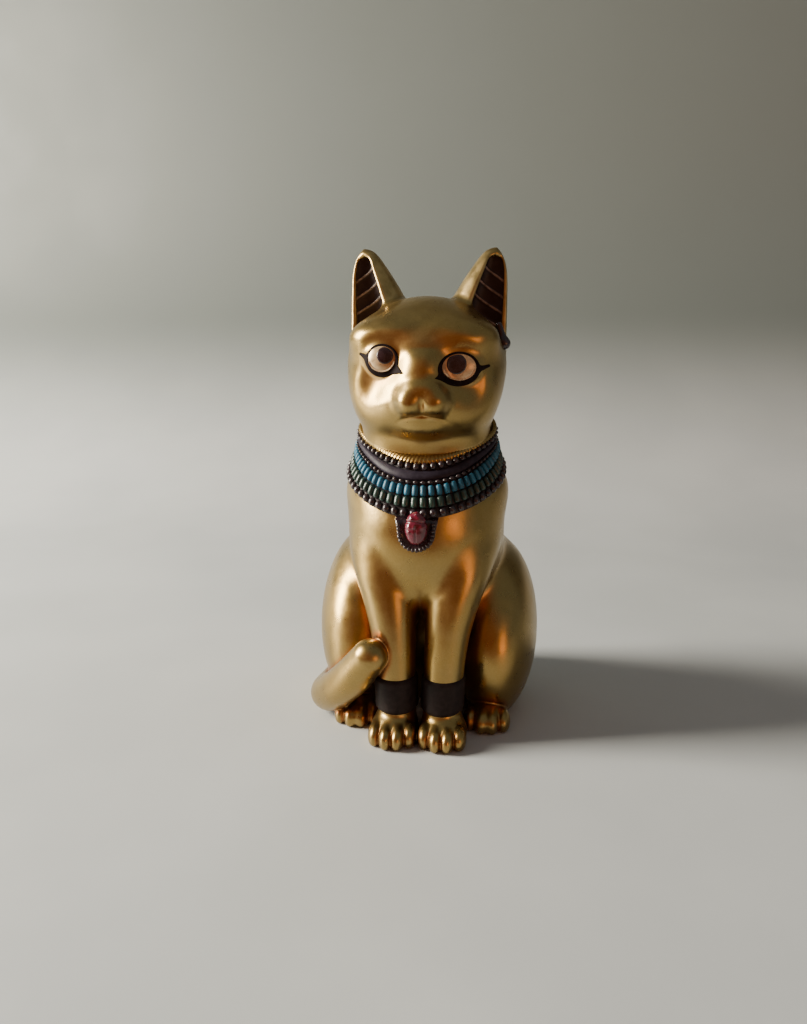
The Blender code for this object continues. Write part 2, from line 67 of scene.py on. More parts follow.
# ---------------------------------------------------------------- the frame's own places
EAR_TIP = 59.945                # height of the CAD ears in units of U
FORELEG_FRONT = -14.1           # y of the forelegs' foremost point
U = CAD_BOX[1][2] / EAR_TIP
PLACE = np.array((
    (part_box("left_foreleg")[1][0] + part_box("right_foreleg")[0][0]) / 2,
    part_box("left_foreleg")[0][1] - FORELEG_FRONT * U,
    0))                         # where x = 0, y = 0 of the sculpted shape stands in the frame

# ---------------------------------------------------------------- body, in units of U
CHEST = ((0, -4.2, 25.6), (9.9, 9.6, 11.6))
SHOULDERS = ((0.1, -3.0, 30.6), (10.2, 7.9, 6.2))
NECK = ((0, -3.0, 37), (8.3, 5.8, 9))
BACK = ((0, 2.2, 20.5), (10, 10.6, 15))
RUMP = ((0, 5.5, 9), (12, 10.5, 11))
HAUNCH = ((8.9, 2, 10.5), (6, 12.6, 10.4))
RIGHT_HAUNCH_LIFT = 1.0
HAUNCH_TILT = radians(50)       # its long axis runs from the knee up and back to the hip

LEG_SECTIONS = np.array((       # height, distance from the middle, y, half width, half depth
    (3.6, 2.85, -11.2, 2.4, 2.9),
    (8.5, 3.05, -11.1, 2.5, 2.9),
    (13, 3.35, -10.6, 2.8, 3.3),
    (17, 3.85, -9.7, 3.4, 3.9),
    (20.5, 4.5, -8.4, 4.0, 4.5),
    (23.5, 4.9, -7.2, 4.0, 4.6),
    (26, 4.7, -6.2, 3.6, 4.2)))
CUFF_BOTTOM = 3.85
CUFF_TOP = 8.1
CUFF_THICKNESS = 0.26
CUFF_SINK = -0.3                # its inner side lies this far inside the leg
BODY_TOP = 0.3                  # the body ends this far over the neck ring's plane
HEAD_BOTTOM = 0.1               # and the head begins this far over it

FRONT_PAW = ((3.05, -12.0, 1.0), (3.0, 3.7, 2.8))
FRONT_TOE_REACH = -15.2
HIND_PAW = ((8.4, -5.6, 1.2), (2.6, 5.4, 2.2))
HIND_TOE_REACH = -9.5
TOE = (0.92, 1.8, 1.55)         # half width, half length, half height of one toe
TOE_SPREAD = 1.42               # from one toe's middle to the next

TAIL_ROUTE = np.array((         # x, y, z and radius, from the rump to the tip on the right foreleg
    (1.5, 12, 4.6, 2.0),
    (-4.5, 13.7, 3.4, 2.1),
    (-9.2, 11.6, 2.6, 2.2),
    (-11.3, 7.5, 2.4, 2.25),
    (-12.0, 2.5, 2.4, 2.3),
    (-12.6, -2.6, 2.4, 2.4),
    (-12.6, -6.4, 2.9, 2.5),
    (-10.7, -9.9, 5.0, 2.5),
    (-8.2, -12.6, 8.0, 2.45),
    (-5.8, -14.4, 11.3, 2.2)))

# ---------------------------------------------------------------- head, in units of U
SKULL = ((0, -3.9, 45.9), (9.85, 9.2, 8.4))
JOWL = ((4.2, -6.2, 42.3), (4.7, 5.6, 5.0))
THROAT = ((0, -3.3, 36.5), (8.3, 7.1, 6.5))
MUZZLE = ((0.2, -9.8, 42.1), (5.4, 4.0, 3.5))
PAD = ((1.38, -13.45, 42.15), (1.6, 1.75, 1.6))
CHIN = ((0.15, -11.1, 39.4), (1.7, 1.5, 1.1))
NOSE = ((0.38, -13.8, 43.5), (1.3, 0.9, 0.7))
BRIDGE = ((0.25, -11.2, 44.9), (2.1, 2.3, 3.2))
BROW = ((4.8, -8.7, 49.4), (3.6, 2.6, 1.6))
STOP = ((0.3, -15.3, 48.1), (3.0, 2.9, 1.1))    # the hollow between forehead and bridge
CHEEK_HOLLOW = ((5.5, -13.9, 43.1), (3.0, 3.2, 2.3))     # under the eyes
FACE_MIDDLE = 0.35              # x of the nose, which sits a little to the left

EAR_BASE = 49
EAR_HEIGHT = 11.2
EAR_ROOT = 47.6                 # inside the skull
EAR_HALF_WIDTH = 4.6
EAR_HALF_DEPTH = 4.0
EAR_MIDDLE_Y = -2.2             # y of the cup's middle at its base
EAR_SWEEP = 1.2                 # how far back that middle moves up to the tip
EAR_OUTER_X = 9.75              # the outer edge stands nearly upright
EAR_LEAN = 1.4                  # and leans in this far at the tip
EAR_TURN = radians(30)          # the cup opens this far outward from straight ahead
EAR_OPENING = radians(52)       # half of the opening, to the middle of either rim
EAR_WALL = 0.13                 # half the wall, as a share of the half width at that height
EAR_THINNING = 0.4              # how much of that is missing on the outer side

EYES = {                        # side, middle (x, z), opening's half width and half height
    "right": (-1, (-4.46, 46.86), (1.55, 1.42)),
    "left": (1, (4.47, 45.95), (1.87, 1.47)),
}
EYE_SPAN_Y = (-15, -7)          # front and back of what is meshed for an eye
SOCKET = ((0.2, -14.3, -0.8), (3.5, 3.05, 3.5))      # outward and upward of the eye's middle; radii
EYEBALL_Y = -10.75
EYEBALL_DEPTH = 1.5
EYEBALL_MARGIN = 0.45           # how far the eyeball goes on past the opening
LINER_TIPS = {                  # inner and outer point of the line round each eye, from its middle
    "right": ((-2.6, -1.6), (2.75, 0.55)),
    "left": ((-2.55, -1.2), (3.3, 0.12)),
}
PUPILS = {                      # outward, upward from the eye's middle, and radius
    "right": (-0.4, 0.42, 0.98),
    "left": (-0.3, 0.36, 1.16),
}
# Raised over the skin, sunk into it, and how far in its edge is rounded:
EYE_SHELL = (0.05, 0.1, 0.1)
LID_SHELL = (0.2, 0.05, 0.08)
LINER_SHELL = (0.13, 0.1, 0.12)
PUPIL_SHELL = (0.12, 0.02, 0.15)

MOUTH_HEIGHT = 40.5             # of its middle, between the lips
MOUTH_DROOP = 0.09              # how fast it falls to either side
MOUTH_DEPTH = 0.13
CLEFT_HEIGHT = 41.4             # of the groove between the pads
CLEFT_DEPTH = 0.1

STUD = (9.45, -4.3, 48.6)
STUD_TOP = (8.8, -4.2, 50.8)    # where its stem goes into the ear
STUD_RADIUS = 0.8
RIDGES = np.arange(51.9, 59, 1.55)     # heights at which the lining's ridges start, at its inner side
RIDGE_FALL = 0.36               # how steeply the ridges fall, going outward
RIDGE_WIDTH = 0.2
RIDGE_HEIGHT = 0.22
STEP_LENGTH = 1.5               # of the slope under each ridge
STEP_HEIGHT = 0.3
DISH_RIM = 0.42                 # how far ahead of the cup's middle the lining's edges lie
DISH_DEPTH = 0.5                # and how much deeper its middle is
LINING_BACK = 0.8               # where its back lies, as a share of the way to the ear's skin

# ---------------------------------------------------------------- collar, in units of U
COLLAR_CENTRE = np.array((0, -3.7, 38.0))
COLLAR_TILT = radians(25)       # the collar leans down at the front
COLLAR_UP = np.array((0, -sin(COLLAR_TILT), cos(COLLAR_TILT)))
COLLAR_FORWARD = np.array((0, -cos(COLLAR_TILT), -sin(COLLAR_TILT)))
COLLAR_SIDE = np.array((1.0, 0, 0))
RING_RADIUS = 0.27
RING_SIDES = 8                  # corners of the wire's section
RING_RIDGES = 110               # how often its twist shows round the neck
RING_RELIEF = 0.14              # height of those ridges, as a share of the radius
BAND_HEIGHT = 0.42              # of the dark strip under the beads, over the skin
# Each row: its name, top and bottom below the ring's plane, beads, their height, squareness and slot.
ROWS = (
    ("upper_bead_row", 0.24, 0.70, 54, 0.44, 0.85, "black_bead_enamel"),
    ("small_bead_row", 1.38, 1.70, 74, 0.36, 1.0, "black_bead_enamel"),
    ("turquoise_bead_row", 1.72, 2.62, 74, 0.44, 0.5, "turquoise_enamel"),
    ("green_bead_row", 2.64, 3.62, 74, 0.42, 0.5, "green_enamel"),
    ("outer_bead_row", 3.64, 4.52, 70, 0.46, 1.0, "black_bead_enamel"),
)
COLLAR_BOTTOM = ROWS[-1][2]
DARK_BAND = (0.72, 1.36)        # top and bottom of the plain strip between the upper rows
BEAD_SEGMENTS = 12
BEAD_RINGS = 7
BEAD_SEED = 7
PENDANT = ((-0.2, 26.9), 2.3)   # x and z of its middle, and radius
PENDANT_TOP = 31                # where its sides would end, behind the beads
PLATE_THICKNESS = 0.95          # of the pendant's setting, over the skin
SETTING_BEAD = (0.28, 0.3, 0.34)
SETTING_SEED = 11
GEM = ((-0.15, -14.7, 27.5), (1.32, 0.85, 1.98))
GEM_BUMPS = (                   # sideways and upward from its middle, and size
    (-0.5, 1.3, 0.3), (0.35, 1.35, 0.3), (-0.75, 0.25, 0.28), (0.1, 1.75, 0.25),
    (-0.2, 0.35, 0.22), (0.8, 0.3, 0.28), (-0.85, -0.4, 0.25))

# ---------------------------------------------------------------- light and camera
LIGHTS = (                      # name, place and aim in metres, width and height, watts, colour
    ("window", (-0.38, -0.05, 0.18), (0, 0, 0.03), (0.12, 0.24), 6.2, (1, 0.91, 0.76)),
    ("glow", (0.30, -0.30, 0.04), (0, 0, 0.025), (0.16, 0.14), 0.2, (1, 0.40, 0.14)),
)
ROOM_COLOUR = (0.60, 0.64, 0.64)
WARM_COLOUR = (0.85, 0.28, 0.11)
WARM_DIRECTION = (-0.25, -0.95, -0.1)
ROOM_STRENGTH = 0.33
CAMERA_PLACE = (9.9, -108.5, 49.0)      # in units of U
CAMERA_TURN = (radians(78.3), 0, radians(7))
CAMERA_LENS = 29.18             # in mm, for a sensor this wide
SENSOR_WIDTH = 36

# ---------------------------------------------------------------- meshing, in units of U
FINE = 0.2           # mesh cell of the body
FINER = 0.15        # mesh cell of the head
FINEST = 0.06       # mesh cell of the painted details
BODY_SPAN = ((-17, -18, -0.6), (17, 18, 42))
HEAD_SPAN = ((-11.5, -16.5, 33), (11.5, 7, 60.8))
SLOPE_STEP = 0.01               # for slopes of a field
CORNER_DEPTH = 0.6              # how far under the skin corners are looked for
CREASE_ANGLE = radians(50)      # sharper edges than this aren't shaded smooth


# ---------------------------------------------------------------- distance fields
def length(v):
    return np.sqrt((v * v).sum(axis=-1))


def ellipsoid(p, shape, side=1, tilt=0.0):
    """The field of an ellipsoid (middle, radii), on the left side (1) or the right side (-1)."""
    middle, radii = np.array(shape[0], float), np.array(shape[1], float)
    middle[0] *= side
    q = p - middle + 1e-6
    if tilt:
        y = q[:, 1] * cos(tilt) + q[:, 2] * sin(tilt)
        z = q[:, 2] * cos(tilt) - q[:, 1] * sin(tilt)
        q = np.stack((q[:, 0], y, z), axis=1)
    near = length(q / radii)
    return near * (near - 1) / length(q / radii ** 2)


def join(soft, *fields):
    """Fields united, with a fillet of about this softness where they meet."""
    def pair(a, b):
        h = np.maximum(soft - np.abs(a - b), 0) / soft
        return np.minimum(a, b) - h * h * soft / 4
    return reduce(pair, fields)


def common(soft, *fields):
    return -join(soft, *[-field for field in fields])


def carve(soft, field, cutter):
    return common(soft, field, -cutter)


def smooth_step(x, low, high):
    t = np.clip((x - low) / (high - low), 0, 1)
    return t * t * (3 - 2 * t)


def capsule(p, a, b, radius_a, radius_b):
    """A round bar from a to b whose radius changes along it."""
    a, b = np.array(a, float), np.array(b, float)
    along = np.clip((p - a) @ (b - a) / ((b - a) @ (b - a)), 0, 1)
    return length(p - a - along[:, None] * (b - a)) - radius_a - (radius_b - radius_a) * along


def torso(p):
    front = join(2.6, ellipsoid(p, CHEST), ellipsoid(p, SHOULDERS), ellipsoid(p, NECK))
    rear = join(5.0, ellipsoid(p, BACK), ellipsoid(p, RUMP))
    return join(3.0, front, rear)


def haunch(p, side):
    """The right haunch stands a little higher, over the tail."""
    (x, y, z), radii = HAUNCH
    lift = RIGHT_HAUNCH_LIFT if side < 0 else 0
    return ellipsoid(p, ((x, y, z + lift), radii), side, HAUNCH_TILT)


def smooth_route(points, steps):
    """Points along a Catmull-Rom curve through the given ones."""
    padded = np.vstack((2 * points[0] - points[1], points, 2 * points[-1] - points[-2]))
    route = []
    for before, a, b, after in zip(padded, padded[1:], padded[2:], padded[3:]):
        for t in np.arange(steps) / steps:
            route.append(0.5 * (2 * a + (b - before) * t + (2 * before - 5 * a + 4 * b - after) * t ** 2
                                + (3 * a - before - 3 * b + after) * t ** 3))
    route.append(points[-1])
    return np.array(route)


LEG_LINE = smooth_route(LEG_SECTIONS, 24)
TAIL_LINE = smooth_route(TAIL_ROUTE, 8)


def foreleg(p, side):
    """An upright loft through the leg's elliptical sections, rounded off at its top."""
    heights = LEG_LINE[:, 0]
    z = np.clip(p[:, 2], 0, heights[-1])
    reach, y, half_width, half_depth = (np.interp(z, heights, column) for column in LEG_LINE.T[1:])
    q = np.stack((p[:, 0] - side * reach, p[:, 1] - y), axis=1) + 1e-6
    radii = np.stack((half_width, half_depth), axis=1)
    near = length(q / radii)
    around = near * (near - 1) / length(q / radii ** 2)
    return common(1.5, around, p[:, 2] - heights[-1])


def paw(p, shape, toe_reach, side):
    """A foot with four toes side by side at its front."""
    foot = ellipsoid(p, shape, side)
    toes = []
    for k in range(4):
        across = (k - 1.5) * TOE_SPREAD
        middle = (shape[0][0] + across, toe_reach + 0.2 * across * across, 1.1)
        toes.append(ellipsoid(p, (middle, TOE), side))
    return join(0.45, foot, join(0.2, *toes))


def tail(p):
    field = np.full(len(p), 1e3)
    for a, b in zip(TAIL_LINE, TAIL_LINE[1:]):
        field = np.minimum(field, capsule(p, a[:3], b[:3], a[3], b[3]))
    return field


def body_groups(p):
    """The field of each piece of the body by itself."""
    groups = {"torso": torso(p), "tail": tail(p)}
    for name, side in (("left", 1), ("right", -1)):
        groups[name + "_haunch"] = haunch(p, side)
        groups[name + "_foreleg"] = foreleg(p, side)
        groups[name + "_front_paw"] = paw(p, FRONT_PAW, FRONT_TOE_REACH, side)
        groups[name + "_hind_paw"] = paw(p, HIND_PAW, HIND_TOE_REACH, side)
    return groups


def above_collar(p):
    """Height over the neck ring's plane."""
    return (p - COLLAR_CENTRE) @ COLLAR_UP


def body(p):
    g = body_groups(p)
    legs = join(0.25, *[join(0.5, g[s + "_foreleg"], g[s + "_front_paw"]) for s in ("left", "right")])
    trunk = join(1.9, g["torso"], join(0.4, g["left_haunch"], g["right_haunch"]))
    trunk = join(1.3, trunk, legs)
    hind = np.minimum(g["left_hind_paw"], g["right_hind_paw"])
    whole = join(0.3, trunk, hind)
    rooted = smooth_step(p[:, 1], 4, 9)         # behind this, the tail grows out of the rump
    whole = np.where(rooted > 0, join(2.5, whole, g["tail"]) * rooted, 0) + join(
        0.25, whole, g["tail"]) * (1 - rooted)
    return common(0.3, whole, -p[:, 2])


# ---------------------------------------------------------------- head
def ear_sizes(rise):
    """An ear's half width, half depth and the x of its outer edge, at heights from 0 to 1."""
    size = np.sqrt(1 - rise)
    outer_edge = EAR_OUTER_X - EAR_LEAN * np.abs(rise) ** 8
    return EAR_HALF_WIDTH * size, EAR_HALF_DEPTH * size, outer_edge


def ear_frame(p, side):
    """Where points lie in an ear: how high (0 to 1), how far from its middle (1 at its skin),
    the turn from straight ahead towards the outside, and the half width at that height."""
    rise = np.clip((p[:, 2] - EAR_BASE) / EAR_HEIGHT, -0.3, 0.999)
    width, depth, outer_edge = ear_sizes(rise)
    across = (side * p[:, 0] - outer_edge + width) / width
    ahead = -(p[:, 1] - EAR_MIDDLE_Y - EAR_SWEEP * rise) / depth
    return rise, np.hypot(across, ahead), np.arctan2(across, ahead), width


def ear(p, side):
    """A cup: a wall with rounded rims, filled up solid at the tip and at the root."""
    rise, out, turn, width = ear_frame(p, side)
    away = np.abs((turn - EAR_TURN + pi) % (2 * pi) - pi)
    half_wall = EAR_WALL * (1 - EAR_THINNING * smooth_step(np.sin(turn - EAR_TURN), 0, 0.7))
    middle = 1 - half_wall
    wall = np.abs(out - middle) - half_wall
    rim_x = out * np.sin(away) - middle * sin(EAR_OPENING)
    rim_y = out * np.cos(away) - middle * cos(EAR_OPENING)
    rim = np.hypot(rim_x, rim_y) - half_wall
    cup = np.where(away > EAR_OPENING, wall, rim)
    solid = out - 1
    closed = np.maximum(smooth_step(rise, 0.84, 0.97), smooth_step(rise, 0.1, -0.25))
    field = (cup * (1 - closed) + solid * closed) * width * 0.85
    beyond_tip = p[:, 2] - (EAR_BASE + EAR_HEIGHT)
    return common(1.2, np.maximum(field, beyond_tip), EAR_ROOT - p[:, 2])


def head_groups(p):
    return {"head": skull(p), "left_ear": ear(p, 1), "right_ear": ear(p, -1)}


def eye_place(p, name):
    """Coordinates round an eye, outward from the nose and upward."""
    side, (x, z), _ = EYES[name]
    return side * (p[:, 0] - x), p[:, 2] - z


def dent(distance, width):
    """1 on a line or spot, falling smoothly to 0 about this far from it."""
    return np.exp(-(distance / width) ** 2)


def face_lines(p):
    """How far the mouth and the cleft between the pads go into the surface."""
    x = np.abs(p[:, 0] - FACE_MIDDLE)
    front = smooth_step(-p[:, 1], 11.5, 12.5)
    lips = MOUTH_HEIGHT - MOUTH_DROOP * x * x
    mouth = MOUTH_DEPTH * dent(p[:, 2] - lips, 0.26) * (1 - smooth_step(x, 1.3, 3.6))
    cleft = CLEFT_DEPTH * dent(x, 0.28) * dent(p[:, 2] - CLEFT_HEIGHT, 0.8)
    return front * (mouth + cleft)


def skull(p):
    cranium = join(2.0, ellipsoid(p, SKULL), ellipsoid(p, THROAT))
    cranium = join(2.0, cranium, ellipsoid(p, JOWL), ellipsoid(p, JOWL, -1))
    cranium = join(3.0, cranium, ellipsoid(p, BROW), ellipsoid(p, BROW, -1))
    for side, (x, z), _ in EYES.values():
        (outward, y, upward), radii = SOCKET
        socket = ((x + outward * side, y, z + upward), radii)
        cranium = carve(1.9, cranium, ellipsoid(p, socket))
    cranium = carve(2.2, cranium, ellipsoid(p, STOP))
    cranium = carve(2.6, cranium, join(0.1, ellipsoid(p, CHEEK_HOLLOW), ellipsoid(p, CHEEK_HOLLOW, -1)))
    snout = join(1.8, ellipsoid(p, MUZZLE), ellipsoid(p, BRIDGE), ellipsoid(p, CHIN))
    field = join(2.8, cranium, snout)
    (reach, y, z), radii = PAD
    pads = [ellipsoid(p, ((FACE_MIDDLE + side * reach, y, z), radii)) for side in (1, -1)]
    field = join(1.1, field, join(0.5, *pads))
    field = join(1.3, field, ellipsoid(p, NOSE))
    for side, (x, z), (half_width, half_height) in EYES.values():
        radii = (half_width + EYEBALL_MARGIN, EYEBALL_DEPTH, half_height + EYEBALL_MARGIN)
        ball = ((x, EYEBALL_Y + 0.2 * side, z), radii)      # the left one lies further back
        field = join(0.9, field, ellipsoid(p, ball))
    return field + face_lines(p)


def head(p):
    return join(1.0, skull(p), join(0.1, ear(p, 1), ear(p, -1)))


# ---------------------------------------------------------------- meshing
def gradient(field, p):
    slopes = []
    for axis in np.eye(3) * SLOPE_STEP:
        slopes.append((field(p + axis) - field(p - axis)) / (2 * SLOPE_STEP))
    return np.stack(slopes, axis=1)


def settle(field, p, rounds, most):
    """Moves points onto the field's surface, by at most this far each round, and returns them
    with their outward normals."""
    for _ in range(rounds):
        slope = gradient(field, p)
        move = (field(p) / np.maximum((slope ** 2).sum(axis=1), 0.05))[:, None] * slope
        far = length(move)[:, None]
        p = p - move * np.minimum(1, most / np.maximum(far, 1e-9))
    slope = gradient(field, p)
    return p, slope / np.maximum(length(slope), 1e-9)[:, None]


def sample(field, low, high, cell):
    """Field values on a grid. Away from the surface only the sign is right, which is enough."""
    block = 4
    counts = (np.ceil((high - low) / (cell * block)).astype(int)) * block + 1
    axes = [low[i] + cell * np.arange(counts[i]) for i in range(3)]
    coarse = np.stack(np.meshgrid(*[axis[::block] for axis in axes], indexing="ij"), axis=-1)
    shape = coarse.shape[:3]
    rough = field(coarse.reshape(-1, 3)).reshape(shape)
    near = np.abs(rough) < 2.6 * block * cell       # a block's diagonal is 1.7 of its sides

    def spread(blocks):
        return blocks.repeat(block, 0).repeat(block, 1).repeat(block, 2)
    fine_near = np.zeros(counts, bool)
    for shift in np.ndindex(2, 2, 2):
        ends = tuple(slice(s, s + n - 1) for s, n in zip(shift, shape))
        fine_near[:-1, :-1, :-1] |= spread(near[ends])
    values = np.empty(counts, np.float32)
    values[:-1, :-1, :-1] = spread(rough[:-1, :-1, :-1])
    values[-1] = 1.0
    values[:, -1] = 1.0
    values[:, :, -1] = 1.0
    grown = fine_near.copy()
    grown[1:] |= fine_near[:-1]
    grown[:, 1:] |= grown[:, :-1]
    grown[:, :, 1:] |= grown[:, :, :-1]
    spots = np.argwhere(grown)
    exact = np.empty(len(spots), np.float32)
    for start in range(0, len(spots), 200000):
        part = spots[start:start + 200000]
        exact[start:start + len(part)] = field(low + part * cell)
    values[tuple(spots.T)] = exact
    return values


def surface(field, low, high, cell):
    """The field's surface as triangles, one vertex to each grid cell that it passes through."""
    low, high = np.array(low, float), np.array(high, float)
    values = sample(field, low, high, cell)
    inside = values < 0
    n = np.array(values.shape) - 1
    count = np.zeros(n, np.int8)
    for corner in np.ndindex(2, 2, 2):
        count += inside[tuple(slice(c, c + m) for c, m in zip(corner, n))]
    crossed = np.argwhere((count > 0) & (count < 8))
    index = np.full(n, -1)
    index[tuple(crossed.T)] = np.arange(len(crossed))
    total = np.zeros((len(crossed), 3))
    hits = np.zeros(len(crossed))
    for axis in range(3):
        for u, v in np.ndindex(2, 2):
            start = np.insert(np.array((u, v)), axis, 0)
            end = np.insert(np.array((u, v)), axis, 1)
            a = values[tuple((crossed + start).T)]
            b = values[tuple((crossed + end).T)]
            cut = (a < 0) != (b < 0)
            share = np.where(cut, a / np.where(cut, a - b, 1), 0)
            spot = start + share[:, None] * (end - start)
            total += spot * cut[:, None]
            hits += cut
    points = low + cell * (crossed + total / hits[:, None])
    quads = []
    for axis in range(3):
        one = np.eye(3, dtype=int)[axis]
        first = inside[:-1, :-1, :-1]
        second = inside[tuple(slice(o, o + m) for o, m in zip(one, n))]
        for flips in (False, True):
            starts = first & ~second if not flips else second & ~first
            edges = np.argwhere(starts)
            others = [np.eye(3, dtype=int)[k] for k in range(3) if k != axis]
            edges = edges[(edges[:, [k for k in range(3) if k != axis]] > 0).all(axis=1)]
            corners = [edges, edges - others[0], edges - others[0] - others[1], edges - others[1]]
            loop = np.stack([index[tuple(c.T)] for c in corners], axis=1)
            if flips != (axis == 1):
                loop = loop[:, ::-1]
            quads.append(loop)
    quads = np.vstack(quads)
    quads = quads[(quads >= 0).all(axis=1)]
    points, normals = settle(field, points, 3, cell)
    triangles = np.vstack((quads[:, (0, 1, 2)], quads[:, (0, 2, 3)]))
    return points, normals, triangles


def clipped(field, mesh, value):
    """Cuts a mesh along the line where value is 0. Returns the mesh with the line's points
    added, the triangles where value is below 0, and the other ones."""
    points, normals, triangles = mesh
    level = value(points)
    tiny = 0.004
    level = np.where(np.abs(level) < tiny, np.where(level < 0, -tiny, tiny), level)
    below = level < 0
    count = below[triangles].sum(axis=1)
    mixed = triangles[(count == 1) | (count == 2)]
    lone_below = below[mixed].sum(axis=1) == 1
    lone = (below[mixed] == lone_below[:, None]).argmax(axis=1)
    rows = np.arange(len(mixed))
    a, b, c = (mixed[rows, (lone + k) % 3] for k in range(3))
    pairs = np.sort(np.vstack((np.stack((a, b), 1), np.stack((a, c), 1))), axis=1)
    edges, where = np.unique(pairs, axis=0, return_inverse=True)
    where = where.reshape(-1)
    la, lb = level[edges[:, 0]], level[edges[:, 1]]
    share = np.clip(la / (la - lb), 0.08, 0.92)[:, None]
    new = points[edges[:, 0]] * (1 - share) + points[edges[:, 1]] * share
    new, new_normals = settle(field, new, 1, 0.05)
    base = len(points)
    ab, ac = base + where[:len(mixed)], base + where[len(mixed):]
    tops = np.stack((a, ab, ac), 1)
    feet = np.vstack((np.stack((ab, b, c), 1), np.stack((ab, c, ac), 1)))
    twice = np.concatenate((lone_below, lone_below))
    low_side = np.vstack((triangles[count == 3], tops[lone_below], feet[~twice]))
    high_side = np.vstack((triangles[count == 0], tops[~lone_below], feet[twice]))
    whole = (np.vstack((points, new)), np.vstack((normals, new_normals)))
    return whole, low_side, high_side


def compact(points, normals, triangles):
    used, packed = np.unique(triangles, return_inverse=True)
    return points[used], normals[used], packed.reshape(triangles.shape)


def open_edges(triangles):
    """The directed edges that only one triangle has."""
    edges = np.vstack([triangles[:, (k, (k + 1) % 3)] for k in range(3)])
    size = int(triangles.max()) + 1
    ahead = edges[:, 0] * size + edges[:, 1]
    back = edges[:, 1] * size + edges[:, 0]
    return edges[~np.isin(ahead, back)]


def capped(points, normals, triangles):
    """Closes each open loop with a fan to a point inside it."""
    edges = open_edges(triangles)
    if not len(edges):
        return points, normals, triangles
    group = {int(v): int(v) for v in np.unique(edges)}

    def root(v):
        while group[v] != v:
            group[v] = group[group[v]]
            v = group[v]
        return v
    for a, b in edges.tolist():
        group[root(a)] = root(b)
    roots = np.array([root(a) for a in edges[:, 0].tolist()])
    fans = []
    for each in np.unique(roots):
        loop = edges[roots == each]
        middle = points[loop[:, 0]].mean(axis=0)
        normal = normals[loop[:, 0]].mean(axis=0)
        centre = len(points)
        points = np.vstack((points, middle))
        normals = np.vstack((normals, -normal / max(length(normal), 1e-9)))
        fans.append(np.stack((loop[:, 1], loop[:, 0], np.full(len(loop), centre)), axis=1))
    return points, normals, np.vstack([triangles] + fans)


def split(field, mesh, groups):
    """Cuts the mesh into one closed piece for each group, along the lines between them."""
    names = list(groups(mesh[0][:1]))
    pieces = {}
    points, normals, triangles = mesh
    for k, name in enumerate(names[:-1]):
        rest = names[k + 1:]

        def nearer(p):
            fields = groups(p)
            return fields[name] - np.minimum.reduce([fields[other] for other in rest])
        (points, normals), mine, triangles = clipped(field, (points, normals, triangles), nearer)
        pieces[name] = capped(*compact(points, normals, mine))
    pieces[names[-1]] = capped(*compact(points, normals, triangles))
    return pieces


def shell(field, mesh, mask, raised, sunk, edge):
    """A thin closed skin over the part of a mesh where mask is below 0, rounded at its edge."""
    (points, normals), kept, _ = clipped(field, mesh, mask)
    points, normals, kept = compact(points, normals, kept)
    lift = raised * (0.3 + 0.7 * np.sqrt(smooth_step(-mask(points), 0, edge)))
    outer = points + normals * lift[:, None]
    inner = points - normals * sunk
    count = len(points)
    edges = open_edges(kept)
    walls = np.vstack((
        np.stack((edges[:, 1], edges[:, 0], edges[:, 0] + count), 1),
        np.stack((edges[:, 1], edges[:, 0] + count, edges[:, 1] + count), 1)))
    return np.vstack((outer, inner)), None, np.vstack((kept, kept[:, ::-1] + count, walls))


def grid_faces(rows, columns, wrap_rows=False):
    """Quads between the points of a grid stored row after row, whose every row is a ring."""
    faces = []
    for i in range(rows if wrap_rows else rows - 1):
        here, after = i * columns, (i + 1) % rows * columns
        for k in range(columns):
            beside = (k + 1) % columns
            faces.append((here + k, here + beside, after + beside, after + k))
    return faces


def shifted(faces, start):
    """Faces whose points are numbered from start instead of from 0."""
    return [tuple(v + start for v in face) for face in faces]


# ---------------------------------------------------------------- pieces
def add_piece(name, shape, finish, node, marks=None):
    """A piece that rides on the figurine and stands for a CAD node. A shape is its points in
    units of U, their normals or None, and its faces; marks are values for the materials."""
    points, normals, faces = shape
    if isinstance(faces, np.ndarray):
        faces = faces.tolist()
    mesh = bpy.data.meshes.new(name)
    mesh.from_pydata((points * U + PLACE).tolist(), [], faces)
    mesh.polygons.foreach_set("use_smooth", np.ones(len(mesh.polygons), bool))
    if normals is None:
        mesh.set_sharp_from_angle(angle=CREASE_ANGLE)
    else:
        mesh.normals_split_custom_set_from_vertices(normals.tolist())
    for label, values in (marks or {}).items():
        mark = mesh.attributes.new(label, "FLOAT", "POINT")
        mark.data.foreach_set("value", np.asarray(values, np.float32))
    mesh.materials.append(finish)
    piece = bpy.data.objects.new(name, mesh)
    bpy.context.scene.collection.objects.link(piece)
    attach(piece, "root")
    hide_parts(node)
    return piece


def hollows(field, points, normals):
    """How deep in a hollow each point lies: 0 in the open, towards 1 in a crease."""
    reaches = (0.5, 1.2, 2.6)
    return sum(1 - np.clip(field(points + normals * r) / r, 0, 1) for r in reaches) / len(reaches)


def corners(field, points, normals):
    """How sharply the surface bends outward at each point."""
    return 1 - np.clip(-field(points - normals * CORNER_DEPTH) / CORNER_DEPTH, 0, 1)


def add_gold(shapes, field, finish):
    for node, shape in shapes.items():
        points, normals, _ = shape
        marks = {
            # hollow drives the gold look's painted shade in hollows and creases, and its rougher hollows
            "hollow": hollows(field, points, normals),
            # corner drives the paler edges: rubbed wear and partly a painted highlight
            "corner": corners(field, points, normals),
        }
        add_piece("gold_" + node, shape, finish, node, marks)


def lower_body(p):
    return common(0.2, body(p), above_collar(p) - BODY_TOP)


def upper_head(p):
    return common(0.1, head(p), HEAD_BOTTOM - above_collar(p))


def make_body(finish):
    mesh = surface(lower_body, *BODY_SPAN, FINE)
    add_gold(split(lower_body, mesh, body_groups), lower_body, finish)


